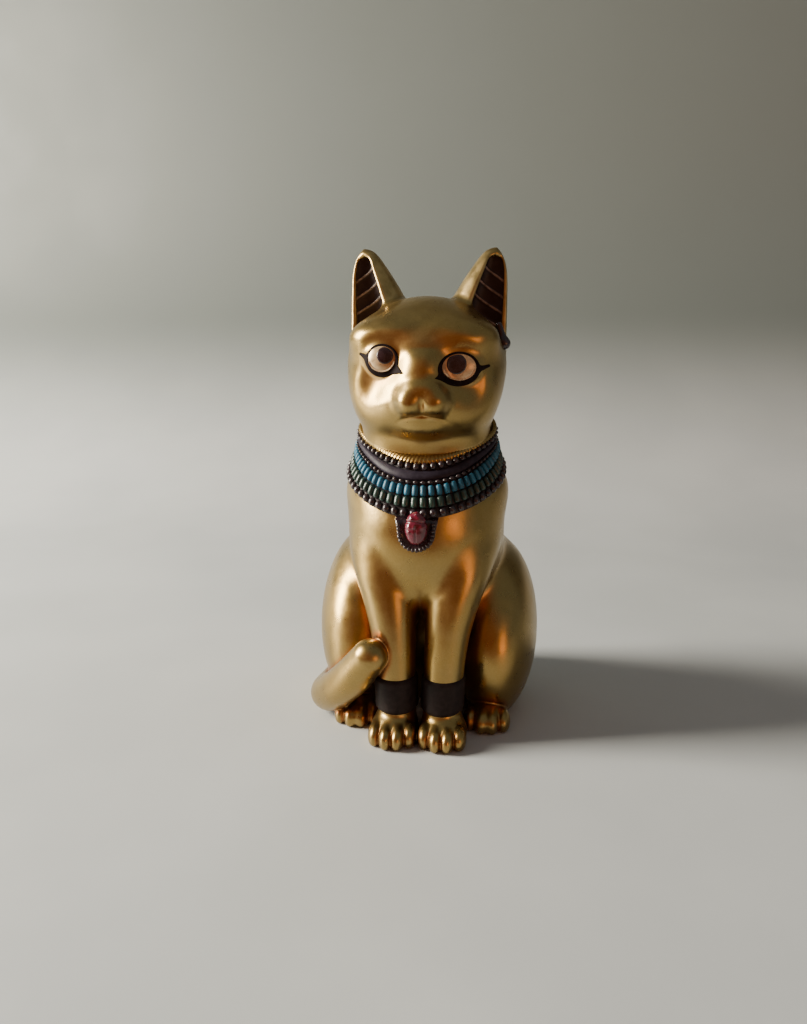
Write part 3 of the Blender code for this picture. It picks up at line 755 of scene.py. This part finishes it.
def make_head(finish):
    mesh = surface(upper_head, *HEAD_SPAN, FINER)
    add_gold(split(upper_head, mesh, head_groups), upper_head, finish)


# ---------------------------------------------------------------- painted details of the head
def oval(u, v, half_width, half_height):
    near = np.hypot(u / half_width, v / half_height)
    return near * (near - 1) / (np.hypot(u / half_width ** 2, v / half_height ** 2) + 1e-6)


def bar(u, v, start, end, radius_start, radius_end):
    """A flat bar from start to end whose radius changes along it."""
    line = np.array(end) - np.array(start)
    along = np.clip(((u - start[0]) * line[0] + (v - start[1]) * line[1]) / (line @ line), 0, 1)
    away = np.hypot(u - start[0] - along * line[0], v - start[1] - along * line[1])
    return away - radius_start - (radius_end - radius_start) * along


def eye_opening(u, v, name):
    half_width, half_height = EYES[name][2]
    return oval(u, v, half_width, half_height)


def liner_outline(u, v, name):
    """Thin above the eye and broad below it, with a point inward and a tail outward."""
    half_width, half_height = EYES[name][2]
    inner_tip, outer_tip = LINER_TIPS[name]
    bend = (half_width + 0.75, outer_tip[1] - 0.22)
    lid = oval(u, v + 0.2, half_width + 0.47, half_height + 0.5)
    inward = bar(u, v, (-half_width * 0.55, -0.85), inner_tip, 1.02, 0.06)
    outward = bar(u, v, (half_width * 0.8, -0.3), bend, 0.8, 0.22)
    tail_tip = bar(u, v, bend, outer_tip, 0.22, 0.17)
    return join(0.25, lid, inward, outward, tail_tip)


def make_eye(name, finishes):
    _, (x, z), (half_width, half_height) = EYES[name]
    reach = half_width + 2.2
    front, back = EYE_SPAN_Y
    low = (x - reach, front, z - half_height - 1.5)
    high = (x + reach, back, z + half_height + 1.5)
    mesh = surface(upper_head, low, high, FINEST)
    pupil_u, pupil_v, pupil_radius = PUPILS[name]

    def opening(p):
        return eye_opening(*eye_place(p, name), name)

    def liner(p):
        u, v = eye_place(p, name)
        return np.maximum(liner_outline(u, v, name), 0.02 - eye_opening(u, v, name))

    def lid_rim(p):
        u, v = eye_place(p, name)
        ring = np.abs(eye_opening(u, v, name) + 0.06) - 0.075
        return common(0.1, ring, v + 0.15 * half_height)

    def pupil(p):
        u, v = eye_place(p, name)
        spot = oval(u - pupil_u, v - pupil_v, pupil_radius, pupil_radius)
        return common(0.05, spot, opening(p) + 0.03)

    skin = shell(upper_head, mesh, lambda p: opening(p) - 0.12, *EYE_SHELL)
    rim = shell(upper_head, mesh, lid_rim, *LID_SHELL)
    ball = np.vstack((skin[0], rim[0])), None, np.vstack((skin[2], rim[2] + len(skin[0])))
    u, _ = eye_place(ball[0], name)
    # rim marks the lower lid rim for a painted highlight; inward marks the side toward the nose for
    # painted shade.
    marks = {
        "rim": np.concatenate((np.zeros(len(skin[0])), np.ones(len(rim[0])))),
        "inward": np.clip(0.5 - u / (2 * half_width), 0, 1),
    }
    add_piece(name + "_eye_ball", ball, finishes["eye"], name + "_eye", marks)
    add_piece(name + "_eye_line", shell(upper_head, mesh, liner, *LINER_SHELL), finishes["liner"],
              name + "_eyeliner")
    add_piece(name + "_eye_pupil", shell(upper_head, mesh, pupil, *PUPIL_SHELL), finishes["pupil"],
              name + "_pupil")


def lining_point(side, rise, across, ahead):
    """A point of an ear: across and ahead are shares of its width along and out of its opening."""
    width, depth, outer_edge = ear_sizes(rise)
    outward = across * cos(EAR_TURN) + ahead * sin(EAR_TURN)
    forward = ahead * cos(EAR_TURN) - across * sin(EAR_TURN)
    x = outer_edge - width + width * outward
    y = EAR_MIDDLE_Y + EAR_SWEEP * rise - depth * forward
    z = EAR_BASE + EAR_HEIGHT * rise
    return np.stack((side * x, y, z), axis=-1)


def make_lining(side_name, side, finish):
    """The dark filling of an ear: a shallow dish crossed by ridges that climb inward."""
    rises = np.linspace(-0.12, 0.93, 170)
    shares = np.linspace(-1, 1, 41)
    rise, share = np.meshgrid(rises, shares, indexing="ij")
    half_wall = EAR_WALL * (1 - EAR_THINNING * smooth_step(share, 0, 1))
    half = (1 - half_wall) * sin(EAR_OPENING) + 0.02
    width, _, _ = ear_sizes(rise)
    outer_share = (share + 1) / 2
    fall = RIDGE_FALL * width * (outer_share + outer_share ** 2)
    height = EAR_BASE + EAR_HEIGHT * rise + fall
    crest = np.zeros_like(height)
    step = np.zeros_like(height)
    for ridge in RIDGES:
        crest = np.maximum(crest, dent(height - ridge, RIDGE_WIDTH))
        below = ridge - height
        under = (below > -0.05) & (below < STEP_LENGTH)
        step = np.maximum(step, np.where(under, 1 - below / STEP_LENGTH, 0))
    relief = (RIDGE_HEIGHT * crest + STEP_HEIGHT * step) / width
    dish = DISH_RIM - DISH_DEPTH * (1 - share ** 2) + relief * (1 - share ** 6)
    front = lining_point(side, rise, share * half, dish)
    reach = LINING_BACK - 0.3 * smooth_step(rise, 0.7, 0.92)      # less where the ear closes
    back_ahead = -np.sqrt(np.clip(reach ** 2 - (share * half) ** 2, 0, 1))
    back = lining_point(side, rise, share * half * 1.06, np.minimum(back_ahead, dish - 0.1))
    points = np.concatenate((front, back[:, ::-1]), axis=1)
    columns = points.shape[1]
    faces = grid_faces(len(rises), columns)
    faces.append(tuple(range(columns)))
    faces.append(tuple(range(columns * (len(rises) - 1), columns * len(rises)))[::-1])
    if side > 0:
        faces = [face[::-1] for face in faces]
    # The crest mark paints a highlight along the ridges' tops in the dark look.
    marks = {"crest": np.concatenate((crest, np.zeros_like(crest)), axis=1).ravel()}
    add_piece(side_name + "_ear_dish", (points.reshape(-1, 3), None, faces), finish,
              side_name + "_ear_lining", marks)


def make_stud(finish):
    def knob(p):
        ball = length(p - np.array(STUD)) - STUD_RADIUS
        stem = capsule(p, STUD, STUD_TOP, 0.55, 0.4)
        return join(0.5, ball, stem)
    low = np.array(STUD) - 2
    high = np.array(STUD) + (2, 2, 3.2)
    add_piece("ear_knob", surface(knob, low, high, FINEST), finish, "ear_stud")


# ---------------------------------------------------------------- cuffs
def make_cuff(side_name, side, finish):
    """A band of paint round the foreleg with softly rounded edges."""
    section = []                # height and how far outside the leg
    for t in np.linspace(-1, 1, 15):
        z = (CUFF_BOTTOM + CUFF_TOP) / 2 + t * (CUFF_TOP - CUFF_BOTTOM) / 2
        section.append((z, CUFF_THICKNESS * (1 - abs(t) ** 14) + 0.03 + 0.05 * smooth_step(-t, 0.3, 1)))
    section = [(CUFF_BOTTOM, CUFF_SINK)] + section + [(CUFF_TOP, CUFF_SINK)]
    turns = np.linspace(0, 2 * pi, 96, endpoint=False)
    rings = []
    for z, out in section:
        reach, y, half_width, half_depth = (np.interp(z, LEG_LINE[:, 0], c) for c in LEG_LINE.T[1:])
        dip = 0.25 * np.cos(turns + pi / 2) * (z < (CUFF_BOTTOM + CUFF_TOP) / 2)
        rings.append(np.stack((
            side * reach + (half_width + out) * np.cos(turns),
            y + (half_depth + out) * np.sin(turns),
            z - dip * 0.6), axis=1))
    points = np.vstack(rings)
    faces = grid_faces(len(section), len(turns), wrap_rows=True)
    add_piece(side_name + "_cuff_band", (points, None, faces), finish, side_name + "_cuff")


# ---------------------------------------------------------------- collar
def skin_at(depth, turn):
    """The neck's skin, this far below the neck ring's plane and turned from straight ahead."""
    depth, turn = np.broadcast_arrays(np.asarray(depth, float), turn)
    away = np.cos(turn)[:, None] * COLLAR_FORWARD + np.sin(turn)[:, None] * COLLAR_SIDE
    centre = COLLAR_CENTRE - depth[:, None] * COLLAR_UP
    near, far = np.full(len(turn), 3.0), np.full(len(turn), 16.0)
    for _ in range(22):
        middle = (near + far) / 2
        inside = torso(centre + away * middle[:, None]) < 0
        near = np.where(inside, middle, near)
        far = np.where(inside, far, middle)
    points = centre + away * near[:, None]
    slope = gradient(torso, points)
    return points, slope / length(slope)[:, None]


def band(section, steps, twist=None):
    """A closed strip round the neck. Its section is a loop of (depth, height over the skin)."""
    turns = np.linspace(0, 2 * pi, steps, endpoint=False)
    loops = []
    for k, (depth, height) in enumerate(section):
        if twist:
            depth, height = twist(k, turns)
        points, normals = skin_at(depth, turns)
        loops.append(points + normals * np.broadcast_to(height, turns.shape)[:, None])
    points = np.stack(loops, axis=1)
    faces = grid_faces(steps, len(section), wrap_rows=True)
    return points.reshape(-1, 3), None, faces


def strip_section(top, bottom, height, roundness=0.12):
    """The section of a flat strip with rounded shoulders."""
    return [
        (top, -0.25), (bottom, -0.25), (bottom, height - roundness),
        (bottom - roundness * 0.4, height - roundness * 0.3), (bottom - roundness, height),
        ((top + bottom) / 2, height + 0.03),
        (top + roundness, height), (top + roundness * 0.4, height - roundness * 0.3),
        (top, height - roundness)]


def bead_form(squareness):
    """A bead of radius 1; a low squareness makes its ends (along y) flat, like a tube's."""
    segments, rings = BEAD_SEGMENTS, BEAD_RINGS
    points = [(0, 1, 0)]
    for k in range(1, rings):
        lean = pi * k / rings
        along = np.sign(cos(lean)) * abs(cos(lean)) ** squareness
        reach = sin(lean) ** squareness
        for turn in 2 * pi * np.arange(segments) / segments:
            points.append((reach * cos(turn), along, reach * sin(turn)))
    points.append((0, -1, 0))
    last = len(points) - 1
    faces = []
    for k in range(segments):
        beside = (k + 1) % segments
        faces.append((0, 1 + beside, 1 + k))
        for ring in range(rings - 2):
            a, b = 1 + ring * segments, 1 + (ring + 1) * segments
            faces.append((a + k, a + beside, b + beside, b + k))
        foot = 1 + (rings - 2) * segments
        faces.append((foot + k, foot + beside, last))
    return np.array(points, float), faces


def string_of_beads(middles, across, along, out, sizes, squareness, rng):
    """Beads set at the middles, each turned to its own three directions."""
    form, faces = bead_form(squareness)
    points, all_faces, tones = [], [], []
    uneven = 1 + 0.06 * (rng.random((len(middles), 3)) - 0.5)
    sizes = np.broadcast_to(sizes, uneven.shape) * uneven
    for k, middle in enumerate(middles):
        axes = np.stack((across[k], along[k], out[k]))
        points.append(middle + (form * sizes[k]) @ axes)
        all_faces += shifted(faces, k * len(form))
        tones.append(np.full(len(form), rng.random()))
    return np.vstack(points), all_faces, np.concatenate(tones)


def row_of_beads(row, rng):
    _, top, bottom, beads, height, squareness, _ = row
    turns = 2 * pi * (np.arange(beads) + 0.5) / beads
    depth = (top + bottom) / 2
    middles, out = skin_at(depth, turns)
    ahead, _ = skin_at(depth, turns + 0.01)
    slope = skin_at(bottom, turns)[0] - skin_at(top, turns)[0]
    along = slope / length(slope)[:, None]
    across = ahead - middles
    across /= length(across)[:, None]
    pitch = length(np.roll(middles, -1, axis=0) - np.roll(middles, 1, axis=0)) / 2
    sizes = np.stack((pitch * 0.43, length(slope) * 0.49, np.full(beads, height)), axis=1)
    return string_of_beads(
        middles + out * (BAND_HEIGHT - 0.06), across, along, out, sizes, squareness, rng)


def make_row(row, finish, backing, rng):
    """One row: its beads and, as a second material, the dark strip that they sit on."""
    name, top, bottom = row[:3]
    strip, _, strip_faces = band(strip_section(top - 0.02, bottom + 0.02, BAND_HEIGHT - 0.12), 180)
    points, faces, tones = row_of_beads(row, rng)
    whole = (np.vstack((points, strip)), None, faces + shifted(strip_faces, len(points)))
    marks = {"tone": np.concatenate((tones, np.full(len(strip), 0.5)))}
    piece = add_piece(name + "_beads", whole, finish, name, marks)
    piece.data.materials.append(backing)
    kinds = np.zeros(len(piece.data.polygons), np.int32)
    kinds[len(faces):] = 1
    piece.data.polygons.foreach_set("material_index", kinds)


def make_ring(finish):
    """The twisted gold wire round the neck."""
    def twisted(k, turns):
        around = 2 * pi * k / RING_SIDES
        radius = RING_RADIUS * (1 + RING_RELIEF * np.cos(2 * around - RING_RIDGES * turns))
        return -radius * np.sin(around), BAND_HEIGHT - 0.1 + radius * np.cos(around)
    points, _, faces = band([(0, 0)] * RING_SIDES, 1400, twisted)
    # The wire gets no painted shade from hollows, and a little of the paler edge colour (rubbed wear and
    # painted highlight).
    zeros = np.zeros(len(points))
    add_piece("neck_ring_wire", (points, None, [f[::-1] for f in faces]), finish, "neck_ring",
              {"hollow": zeros, "corner": zeros + 0.3})


def make_collar(finishes):
    rng = np.random.default_rng(BEAD_SEED)
    for row in ROWS:
        make_row(row, finishes[row[0]], finishes["backing"], rng)
    top, bottom = DARK_BAND
    strip = band(strip_section(top, bottom, BAND_HEIGHT + 0.12, 0.2), 240)
    add_piece("dark_band_strip", strip, finishes["dark_band"], "dark_band")
    make_ring(finishes["gold"])


# ---------------------------------------------------------------- pendant
def drop(p):
    (x, z), radius = PENDANT
    u, v = p[:, 0] - x, p[:, 2]
    return bar(u, v, (0, z), (0, PENDANT_TOP), radius, radius + 0.8)


def make_setting(finish, rng):
    """A drop-shaped plate on the chest with a string of small beads along its edge."""
    (x, z), radius = PENDANT

    def plate(p):
        skin = torso(p)
        top = common(0.3, drop(p), above_collar(p) + COLLAR_BOTTOM - 0.1)
        dish = 0.3 * smooth_step(-drop(p), 0.3, 1.0)
        return common(0.45, skin - PLATE_THICKNESS + dish, -skin - 0.3, top, p[:, 1] + 8)
    points, _, faces = surface(plate, (-3.5, -16.5, 24), (3.2, -9, 31.6), FINEST * 1.4)
    turns = np.radians(np.arange(-35, 216, 13.5))
    spots = np.stack((x + (radius - 0.18) * np.cos(turns), z - (radius - 0.18) * np.sin(turns)), axis=1)
    start = np.stack((spots[:, 0], np.full(len(spots), -15.0), spots[:, 1]), axis=1)
    middles, out = settle(plate, start, 12, 0.5)
    across = np.gradient(middles, axis=0)
    across /= length(across)[:, None]
    along = np.cross(out, across)
    beads, bead_faces, _ = string_of_beads(
        middles - out * 0.1, across, along, out, SETTING_BEAD, 1.0, rng)
    all_faces = faces.tolist() + shifted(bead_faces, len(points))
    add_piece("pendant_plate", (np.vstack((points, beads)), None, all_faces), finish,
              "pendant_setting")


def gem(p):
    """An oval stone carved with a groove across, one down its middle and a few small bumps."""
    (x, y, z), radii = GEM
    u, v = p[:, 0] - x, p[:, 2] - z
    field = ellipsoid(p, GEM)
    groove = 0.13 * dent(v - 0.75 - 0.12 * np.cos(u * 1.4), 0.15)
    wings = 0.08 * dent(u, 0.13) * smooth_step(0.6 - v, 0, 0.3)
    bumps = 0
    for bump_u, bump_v, size in GEM_BUMPS:
        bumps = bumps + 0.12 * dent(np.hypot(u - bump_u, v - bump_v), size)
    return field + groove + wings - bumps


def make_gem(finish):
    middle, radii = np.array(GEM[0]), np.array(GEM[1])
    mesh = surface(gem, middle - radii - 0.4, middle + radii + 0.4, FINEST)
    add_piece("pendant_stone", mesh, finish, "pendant_gem")


# ---------------------------------------------------------------- materials
class Look:
    """Builds the nodes of one material round its Principled shader."""

    def __init__(self, name):
        self.material = bpy.data.materials.new(name)
        self.material.use_nodes = True
        self.tree = self.material.node_tree
        self.shader = self.tree.nodes["Principled BSDF"]
        self.place = self.tree.nodes.new("ShaderNodeTexCoord").outputs["Object"]

    def node(self, kind, **settings):
        made = self.tree.nodes.new(kind)
        for key, value in settings.items():
            setattr(made, key, value)
        return made

    def wire(self, source, target):
        self.tree.links.new(source, target)

    def constants(self, **values):
        for label, value in values.items():
            self.shader.inputs[label.replace("_", " ")].default_value = value

    def noise(self, size, detail):
        """Soft noise from 0 to 1 whose features are about this many units of U wide."""
        made = self.node("ShaderNodeTexNoise")
        made.inputs["Scale"].default_value = 1 / (size * U)
        made.inputs["Detail"].default_value = detail
        self.wire(self.place, made.inputs["Vector"])
        return made.outputs["Fac"]

    def mark(self, label):
        return self.node("ShaderNodeAttribute", attribute_name=label).outputs["Fac"]

    def curve(self, value, low, high, to_low=0.0, to_high=1.0):
        made = self.node("ShaderNodeMapRange", interpolation_type="SMOOTHSTEP")
        self.wire(value, made.inputs["Value"])
        limits = {"From Min": low, "From Max": high, "To Min": to_low, "To Max": to_high}
        for key, number in limits.items():
            made.inputs[key].default_value = number
        return made.outputs["Result"]

    def math(self, operation, a, b):
        made = self.node("ShaderNodeMath", operation=operation)
        for socket, value in zip(made.inputs, (a, b)):
            if isinstance(value, (int, float)):
                socket.default_value = value
            else:
                self.wire(value, socket)
        return made.outputs["Value"]

    def mix(self, factor, a, b):
        made = self.node("ShaderNodeMix", data_type="RGBA")
        factor_in, a_in, b_in = made.inputs[0], made.inputs[6], made.inputs[7]
        for socket, value in ((factor_in, factor), (a_in, a), (b_in, b)):
            if isinstance(value, (int, float)):
                socket.default_value = value
            elif isinstance(value, tuple):
                socket.default_value = (*value, 1)
            else:
                self.wire(value, socket)
        return made.outputs[2]

    def bump(self, *layers):
        """Relief from (height, distance in units of U) layers."""
        last = None
        for height, distance in layers:
            made = self.node("ShaderNodeBump")
            made.inputs["Distance"].default_value = distance * U
            self.wire(height, made.inputs["Height"])
            if last:
                self.wire(last, made.inputs["Normal"])
            last = made.outputs["Normal"]
        self.wire(last, self.shader.inputs["Normal"])

    def finish(self, colour, roughness):
        self.wire(colour, self.shader.inputs["Base Color"])
        self.wire(roughness, self.shader.inputs["Roughness"])
        return self.material


def gold_look():
    """Satin metallic gold paint: olive in its body, with painted shade that turns the hollows copper
    brown and the creases nearly black, and paler on outward edges as rubbed wear and partly as a painted
    highlight.
    """
    look = Look("gold_paint_look")
    broad = look.noise(6.0, 3.0)
    patches = look.noise(1.6, 4.0)
    flakes = look.noise(0.2, 1.0)
    hollow = look.mark("hollow")
    corner = look.mark("corner")
    colour = look.mix(look.curve(broad, 0.35, 0.65), (0.325, 0.228, 0.082), (0.35, 0.234, 0.074))
    colour = look.mix(look.curve(patches, 0.4, 0.75, 0, 0.35), colour, (0.385, 0.275, 0.10))
    # Painted shade: hollows turn a darker copper brown, and the deepest creases (below) nearly black.
    painted_hollow_shade = look.math("MULTIPLY", look.curve(hollow, 0.16, 0.62), 0.85)
    colour = look.mix(painted_hollow_shade, colour, (0.33, 0.115, 0.032))
    deep = look.curve(hollow, 0.55, 0.95, 0, 0.8)
    colour = look.mix(deep, colour, (0.08, 0.035, 0.014))
    # Paler on outward corners: rubbed wear, and partly a painted highlight along the edges.
    rubbed = look.math("MULTIPLY", look.curve(corner, 0.22, 0.6), look.curve(patches, 0.35, 0.6, 0.3, 1))
    colour = look.mix(look.math("MULTIPLY", rubbed, 0.7), colour, (0.62, 0.45, 0.19))
    colour = look.mix(look.curve(flakes, 0.3, 0.75, 0, 0.1), colour, (0.62, 0.46, 0.20))
    roughness = look.math("ADD", look.curve(patches, 0.3, 0.7, 0.27, 0.34),
                          look.curve(hollow, 0.2, 0.8, 0, 0.12))
    look.constants(Metallic=0.95)
    look.bump((look.noise(0.8, 2.0), 0.014))
    return look.finish(colour, roughness)


def paint_look(name, colour, wear_and_highlight, roughness, crest=None, coat=0.0, gloss=0.35):
    """Dark paint with faint brush marks; paler along its crests as a painted highlight where a crest
    mark is given, and otherwise worn paler in fine flecks.
    """
    look = Look(name)
    patches = look.noise(0.7, 4.0)
    fine = look.noise(0.12, 2.0)
    shade = look.mix(look.curve(patches, 0.35, 0.7), colour, tuple(1.5 * c + 0.004 for c in colour))
    # Painted highlight: with a crest mark, the ridge crests are made paler; without one, fine flecks are
    # worn paler.
    if crest:
        crest_highlight = look.math("MULTIPLY", look.curve(look.mark(crest), 0.35, 0.95),
                             look.curve(patches, 0.3, 0.6, 0.4, 1))
        shade = look.mix(crest_highlight, shade, wear_and_highlight)
    else:
        shade = look.mix(look.curve(fine, 0.62, 0.8, 0, 0.25), shade, wear_and_highlight)
    look.constants(Coat_Weight=coat, Coat_Roughness=0.12, Specular_IOR_Level=gloss)
    look.bump((patches, 0.03), (fine, 0.01))
    return look.finish(shade, look.curve(patches, 0.3, 0.7, roughness, roughness + 0.12))


def enamel_look(name, colour, pale, roughness, coat):
    """Glossy bead enamel: every bead has its own tone, with paler rubbed spots."""
    look = Look(name)
    tone = look.mark("tone")
    patches = look.noise(0.35, 3.0)
    fine = look.noise(0.08, 2.0)
    shade = look.mix(look.curve(tone, 0, 1), colour, tuple(1.6 * c for c in colour))
    shade = look.mix(look.curve(patches, 0.5, 0.8, 0, 0.4), shade, pale)
    look.constants(Coat_Weight=coat, Coat_Roughness=0.15)
    look.bump((patches, 0.03), (fine, 0.008))
    return look.finish(shade, look.curve(patches, 0.3, 0.7, roughness, roughness + 0.15))


def eye_look():
    """Cream gold, darker and warmer toward the nose as painted shade, with its lower rim paler as a
    painted highlight.
    """
    look = Look("cream_gold_look")
    patches = look.noise(0.5, 3.0)
    # Painted shade: darker, warmer brown toward the nose.
    shade = look.mix(look.curve(look.mark("inward"), 0.35, 0.95), (0.62, 0.45, 0.25), (0.40, 0.19, 0.07))
    shade = look.mix(look.curve(patches, 0.4, 0.8, 0, 0.3), shade, (0.80, 0.66, 0.42))
    # Painted highlight: the lower lid rim is paler.
    shade = look.mix(look.mark("rim"), shade, (0.85, 0.66, 0.42))
    look.constants(Metallic=0.35, Coat_Weight=0.3, Coat_Roughness=0.1)
    look.bump((patches, 0.02))
    return look.finish(shade, look.curve(patches, 0.3, 0.7, 0.26, 0.36))


def gem_look():
    look = Look("red_enamel_look")
    patches = look.noise(0.6, 3.0)
    shade = look.mix(look.curve(patches, 0.35, 0.7), (0.085, 0.004, 0.014), (0.16, 0.010, 0.032))
    look.constants(Coat_Weight=0.6, Coat_Roughness=0.06)
    look.bump((look.noise(0.3, 2.0), 0.03))
    return look.finish(shade, look.curve(patches, 0.3, 0.7, 0.16, 0.26))


def backdrop_look():
    """A matt sheet, pale where it lies flat and greyer where it stands behind."""
    look = Look("pale_backdrop_look")
    patches = look.noise(30, 4.0)
    shade = look.mix(look.curve(patches, 0.3, 0.7), (0.465, 0.495, 0.51), (0.505, 0.535, 0.55))
    height = look.node("ShaderNodeSeparateXYZ")
    look.wire(look.place, height.inputs["Vector"])
    raised = look.curve(height.outputs["Z"], 0, 60 * U)
    shade = look.mix(raised, shade, (0.12, 0.14, 0.135))
    look.bump((look.noise(1.5, 3.0), 0.01))
    return look.finish(shade, look.curve(patches, 0.3, 0.7, 0.5, 0.56))


# ---------------------------------------------------------------- stage, light and camera
def make_backdrop(finish):
    """A sheet that lies under the figurine and curves up behind it."""
    half, front, bend, radius, top = (n * U for n in (500, -66, 90, 120, 500))
    profile = [(front, 0), (bend, 0)]
    for turn in np.radians(np.arange(5, 91, 5)):
        profile.append((bend + radius * sin(turn), radius * (1 - cos(turn))))
    profile.append((bend + radius, top))
    points = [(x, y, z) for y, z in profile for x in (-half, half)]
    faces = [(2 * k, 2 * k + 1, 2 * k + 3, 2 * k + 2) for k in range(len(profile) - 1)]
    mesh = bpy.data.meshes.new("backdrop")
    mesh.from_pydata(points, [], faces)
    mesh.polygons.foreach_set("use_smooth", np.ones(len(faces), bool))
    mesh.materials.append(finish)
    backdrop = bpy.data.objects.new("backdrop", mesh)
    bpy.context.scene.collection.objects.link(backdrop)


def make_light(name, location, target, size, power, colour):
    data = bpy.data.lights.new(name, "AREA")
    data.shape = "RECTANGLE"
    data.size, data.size_y = size
    data.energy = power
    data.color = colour
    light = bpy.data.objects.new(name, data)
    light.location = location
    light.rotation_euler = (Vector(target) - Vector(location)).to_track_quat("-Z", "Y").to_euler()
    bpy.context.scene.collection.objects.link(light)


def make_world():
    """A dim room, warm in front of the figurine."""
    world = bpy.data.worlds.new("studio")
    world.use_nodes = True
    tree = world.node_tree
    background = tree.nodes["Background"]
    direction = tree.nodes.new("ShaderNodeTexCoord").outputs["Generated"]
    toward = tree.nodes.new("ShaderNodeVectorMath")
    toward.operation = "DOT_PRODUCT"
    toward.inputs[1].default_value = Vector(WARM_DIRECTION).normalized()
    tree.links.new(direction, toward.inputs[0])
    warm = tree.nodes.new("ShaderNodeMapRange")
    warm.interpolation_type = "SMOOTHSTEP"
    warm.inputs["From Min"].default_value = 0.3
    warm.inputs["From Max"].default_value = 0.95
    tree.links.new(toward.outputs["Value"], warm.inputs["Value"])
    mix = tree.nodes.new("ShaderNodeMix")
    mix.data_type = "RGBA"
    mix.inputs[6].default_value = (*ROOM_COLOUR, 1)
    mix.inputs[7].default_value = (*WARM_COLOUR, 1)
    tree.links.new(warm.outputs["Result"], mix.inputs[0])
    tree.links.new(mix.outputs[2], background.inputs["Color"])
    background.inputs["Strength"].default_value = ROOM_STRENGTH
    bpy.context.scene.world = world


def make_camera():
    data = bpy.data.cameras.new("camera")
    data.lens = CAMERA_LENS
    data.sensor_width = SENSOR_WIDTH
    data.clip_start = 0.005
    camera = bpy.data.objects.new("camera", data)
    camera.location = Vector(CAMERA_PLACE) * U + Vector(PLACE)
    camera.rotation_euler = CAMERA_TURN
    bpy.context.scene.collection.objects.link(camera)
    bpy.context.scene.camera = camera


# ---------------------------------------------------------------- assembly
gold = gold_look()
# (0.36, 0.29, 0.26) is the painted highlight on the ear lining's ridge crests.
dark = paint_look("dark_brown_look", (0.018, 0.009, 0.009), (0.36, 0.29, 0.26), 0.42, "crest")
cuff_paint = paint_look("cuff_look", (0.010, 0.0055, 0.0055), (0.04, 0.03, 0.03), 0.5, gloss=0.18)
glossy = paint_look("glossy_dark_look", (0.020, 0.010, 0.014), (0.06, 0.04, 0.05), 0.2, coat=0.6)
black_beads = enamel_look("black_bead_look", (0.016, 0.010, 0.014), (0.08, 0.055, 0.06), 0.26, 0.4)
collar_looks = {
    "gold": gold,
    "backing": paint_look("backing_look", (0.014, 0.010, 0.013), (0.05, 0.04, 0.04), 0.5),
    "dark_band": paint_look("navy_look", (0.018, 0.014, 0.024), (0.06, 0.07, 0.12), 0.45, gloss=0.2),
    "upper_bead_row": black_beads,
    "small_bead_row": black_beads,
    "outer_bead_row": black_beads,
    "turquoise_bead_row": enamel_look(
        "turquoise_look", (0.007, 0.085, 0.15), (0.04, 0.21, 0.32), 0.42, 0.1),
    "green_bead_row": enamel_look("green_look", (0.010, 0.032, 0.026), (0.045, 0.13, 0.10), 0.3, 0.3),
}

make_body(gold)
make_head(gold)
liner_paint = paint_look("eyeliner_look", (0.009, 0.005, 0.0055), (0.03, 0.02, 0.02), 0.6, gloss=0.06)
eye_looks = {"eye": eye_look(), "liner": liner_paint, "pupil": glossy}
for eye_name in EYES:
    make_eye(eye_name, eye_looks)
for side_name, side in (("left", 1), ("right", -1)):
    make_lining(side_name, side, dark)
    make_cuff(side_name, side, cuff_paint)
make_stud(glossy)
make_collar(collar_looks)
make_setting(glossy, np.random.default_rng(SETTING_SEED))
make_gem(gem_look())

make_backdrop(backdrop_look())
for light in LIGHTS:
    make_light(*light)
make_world()
make_camera()
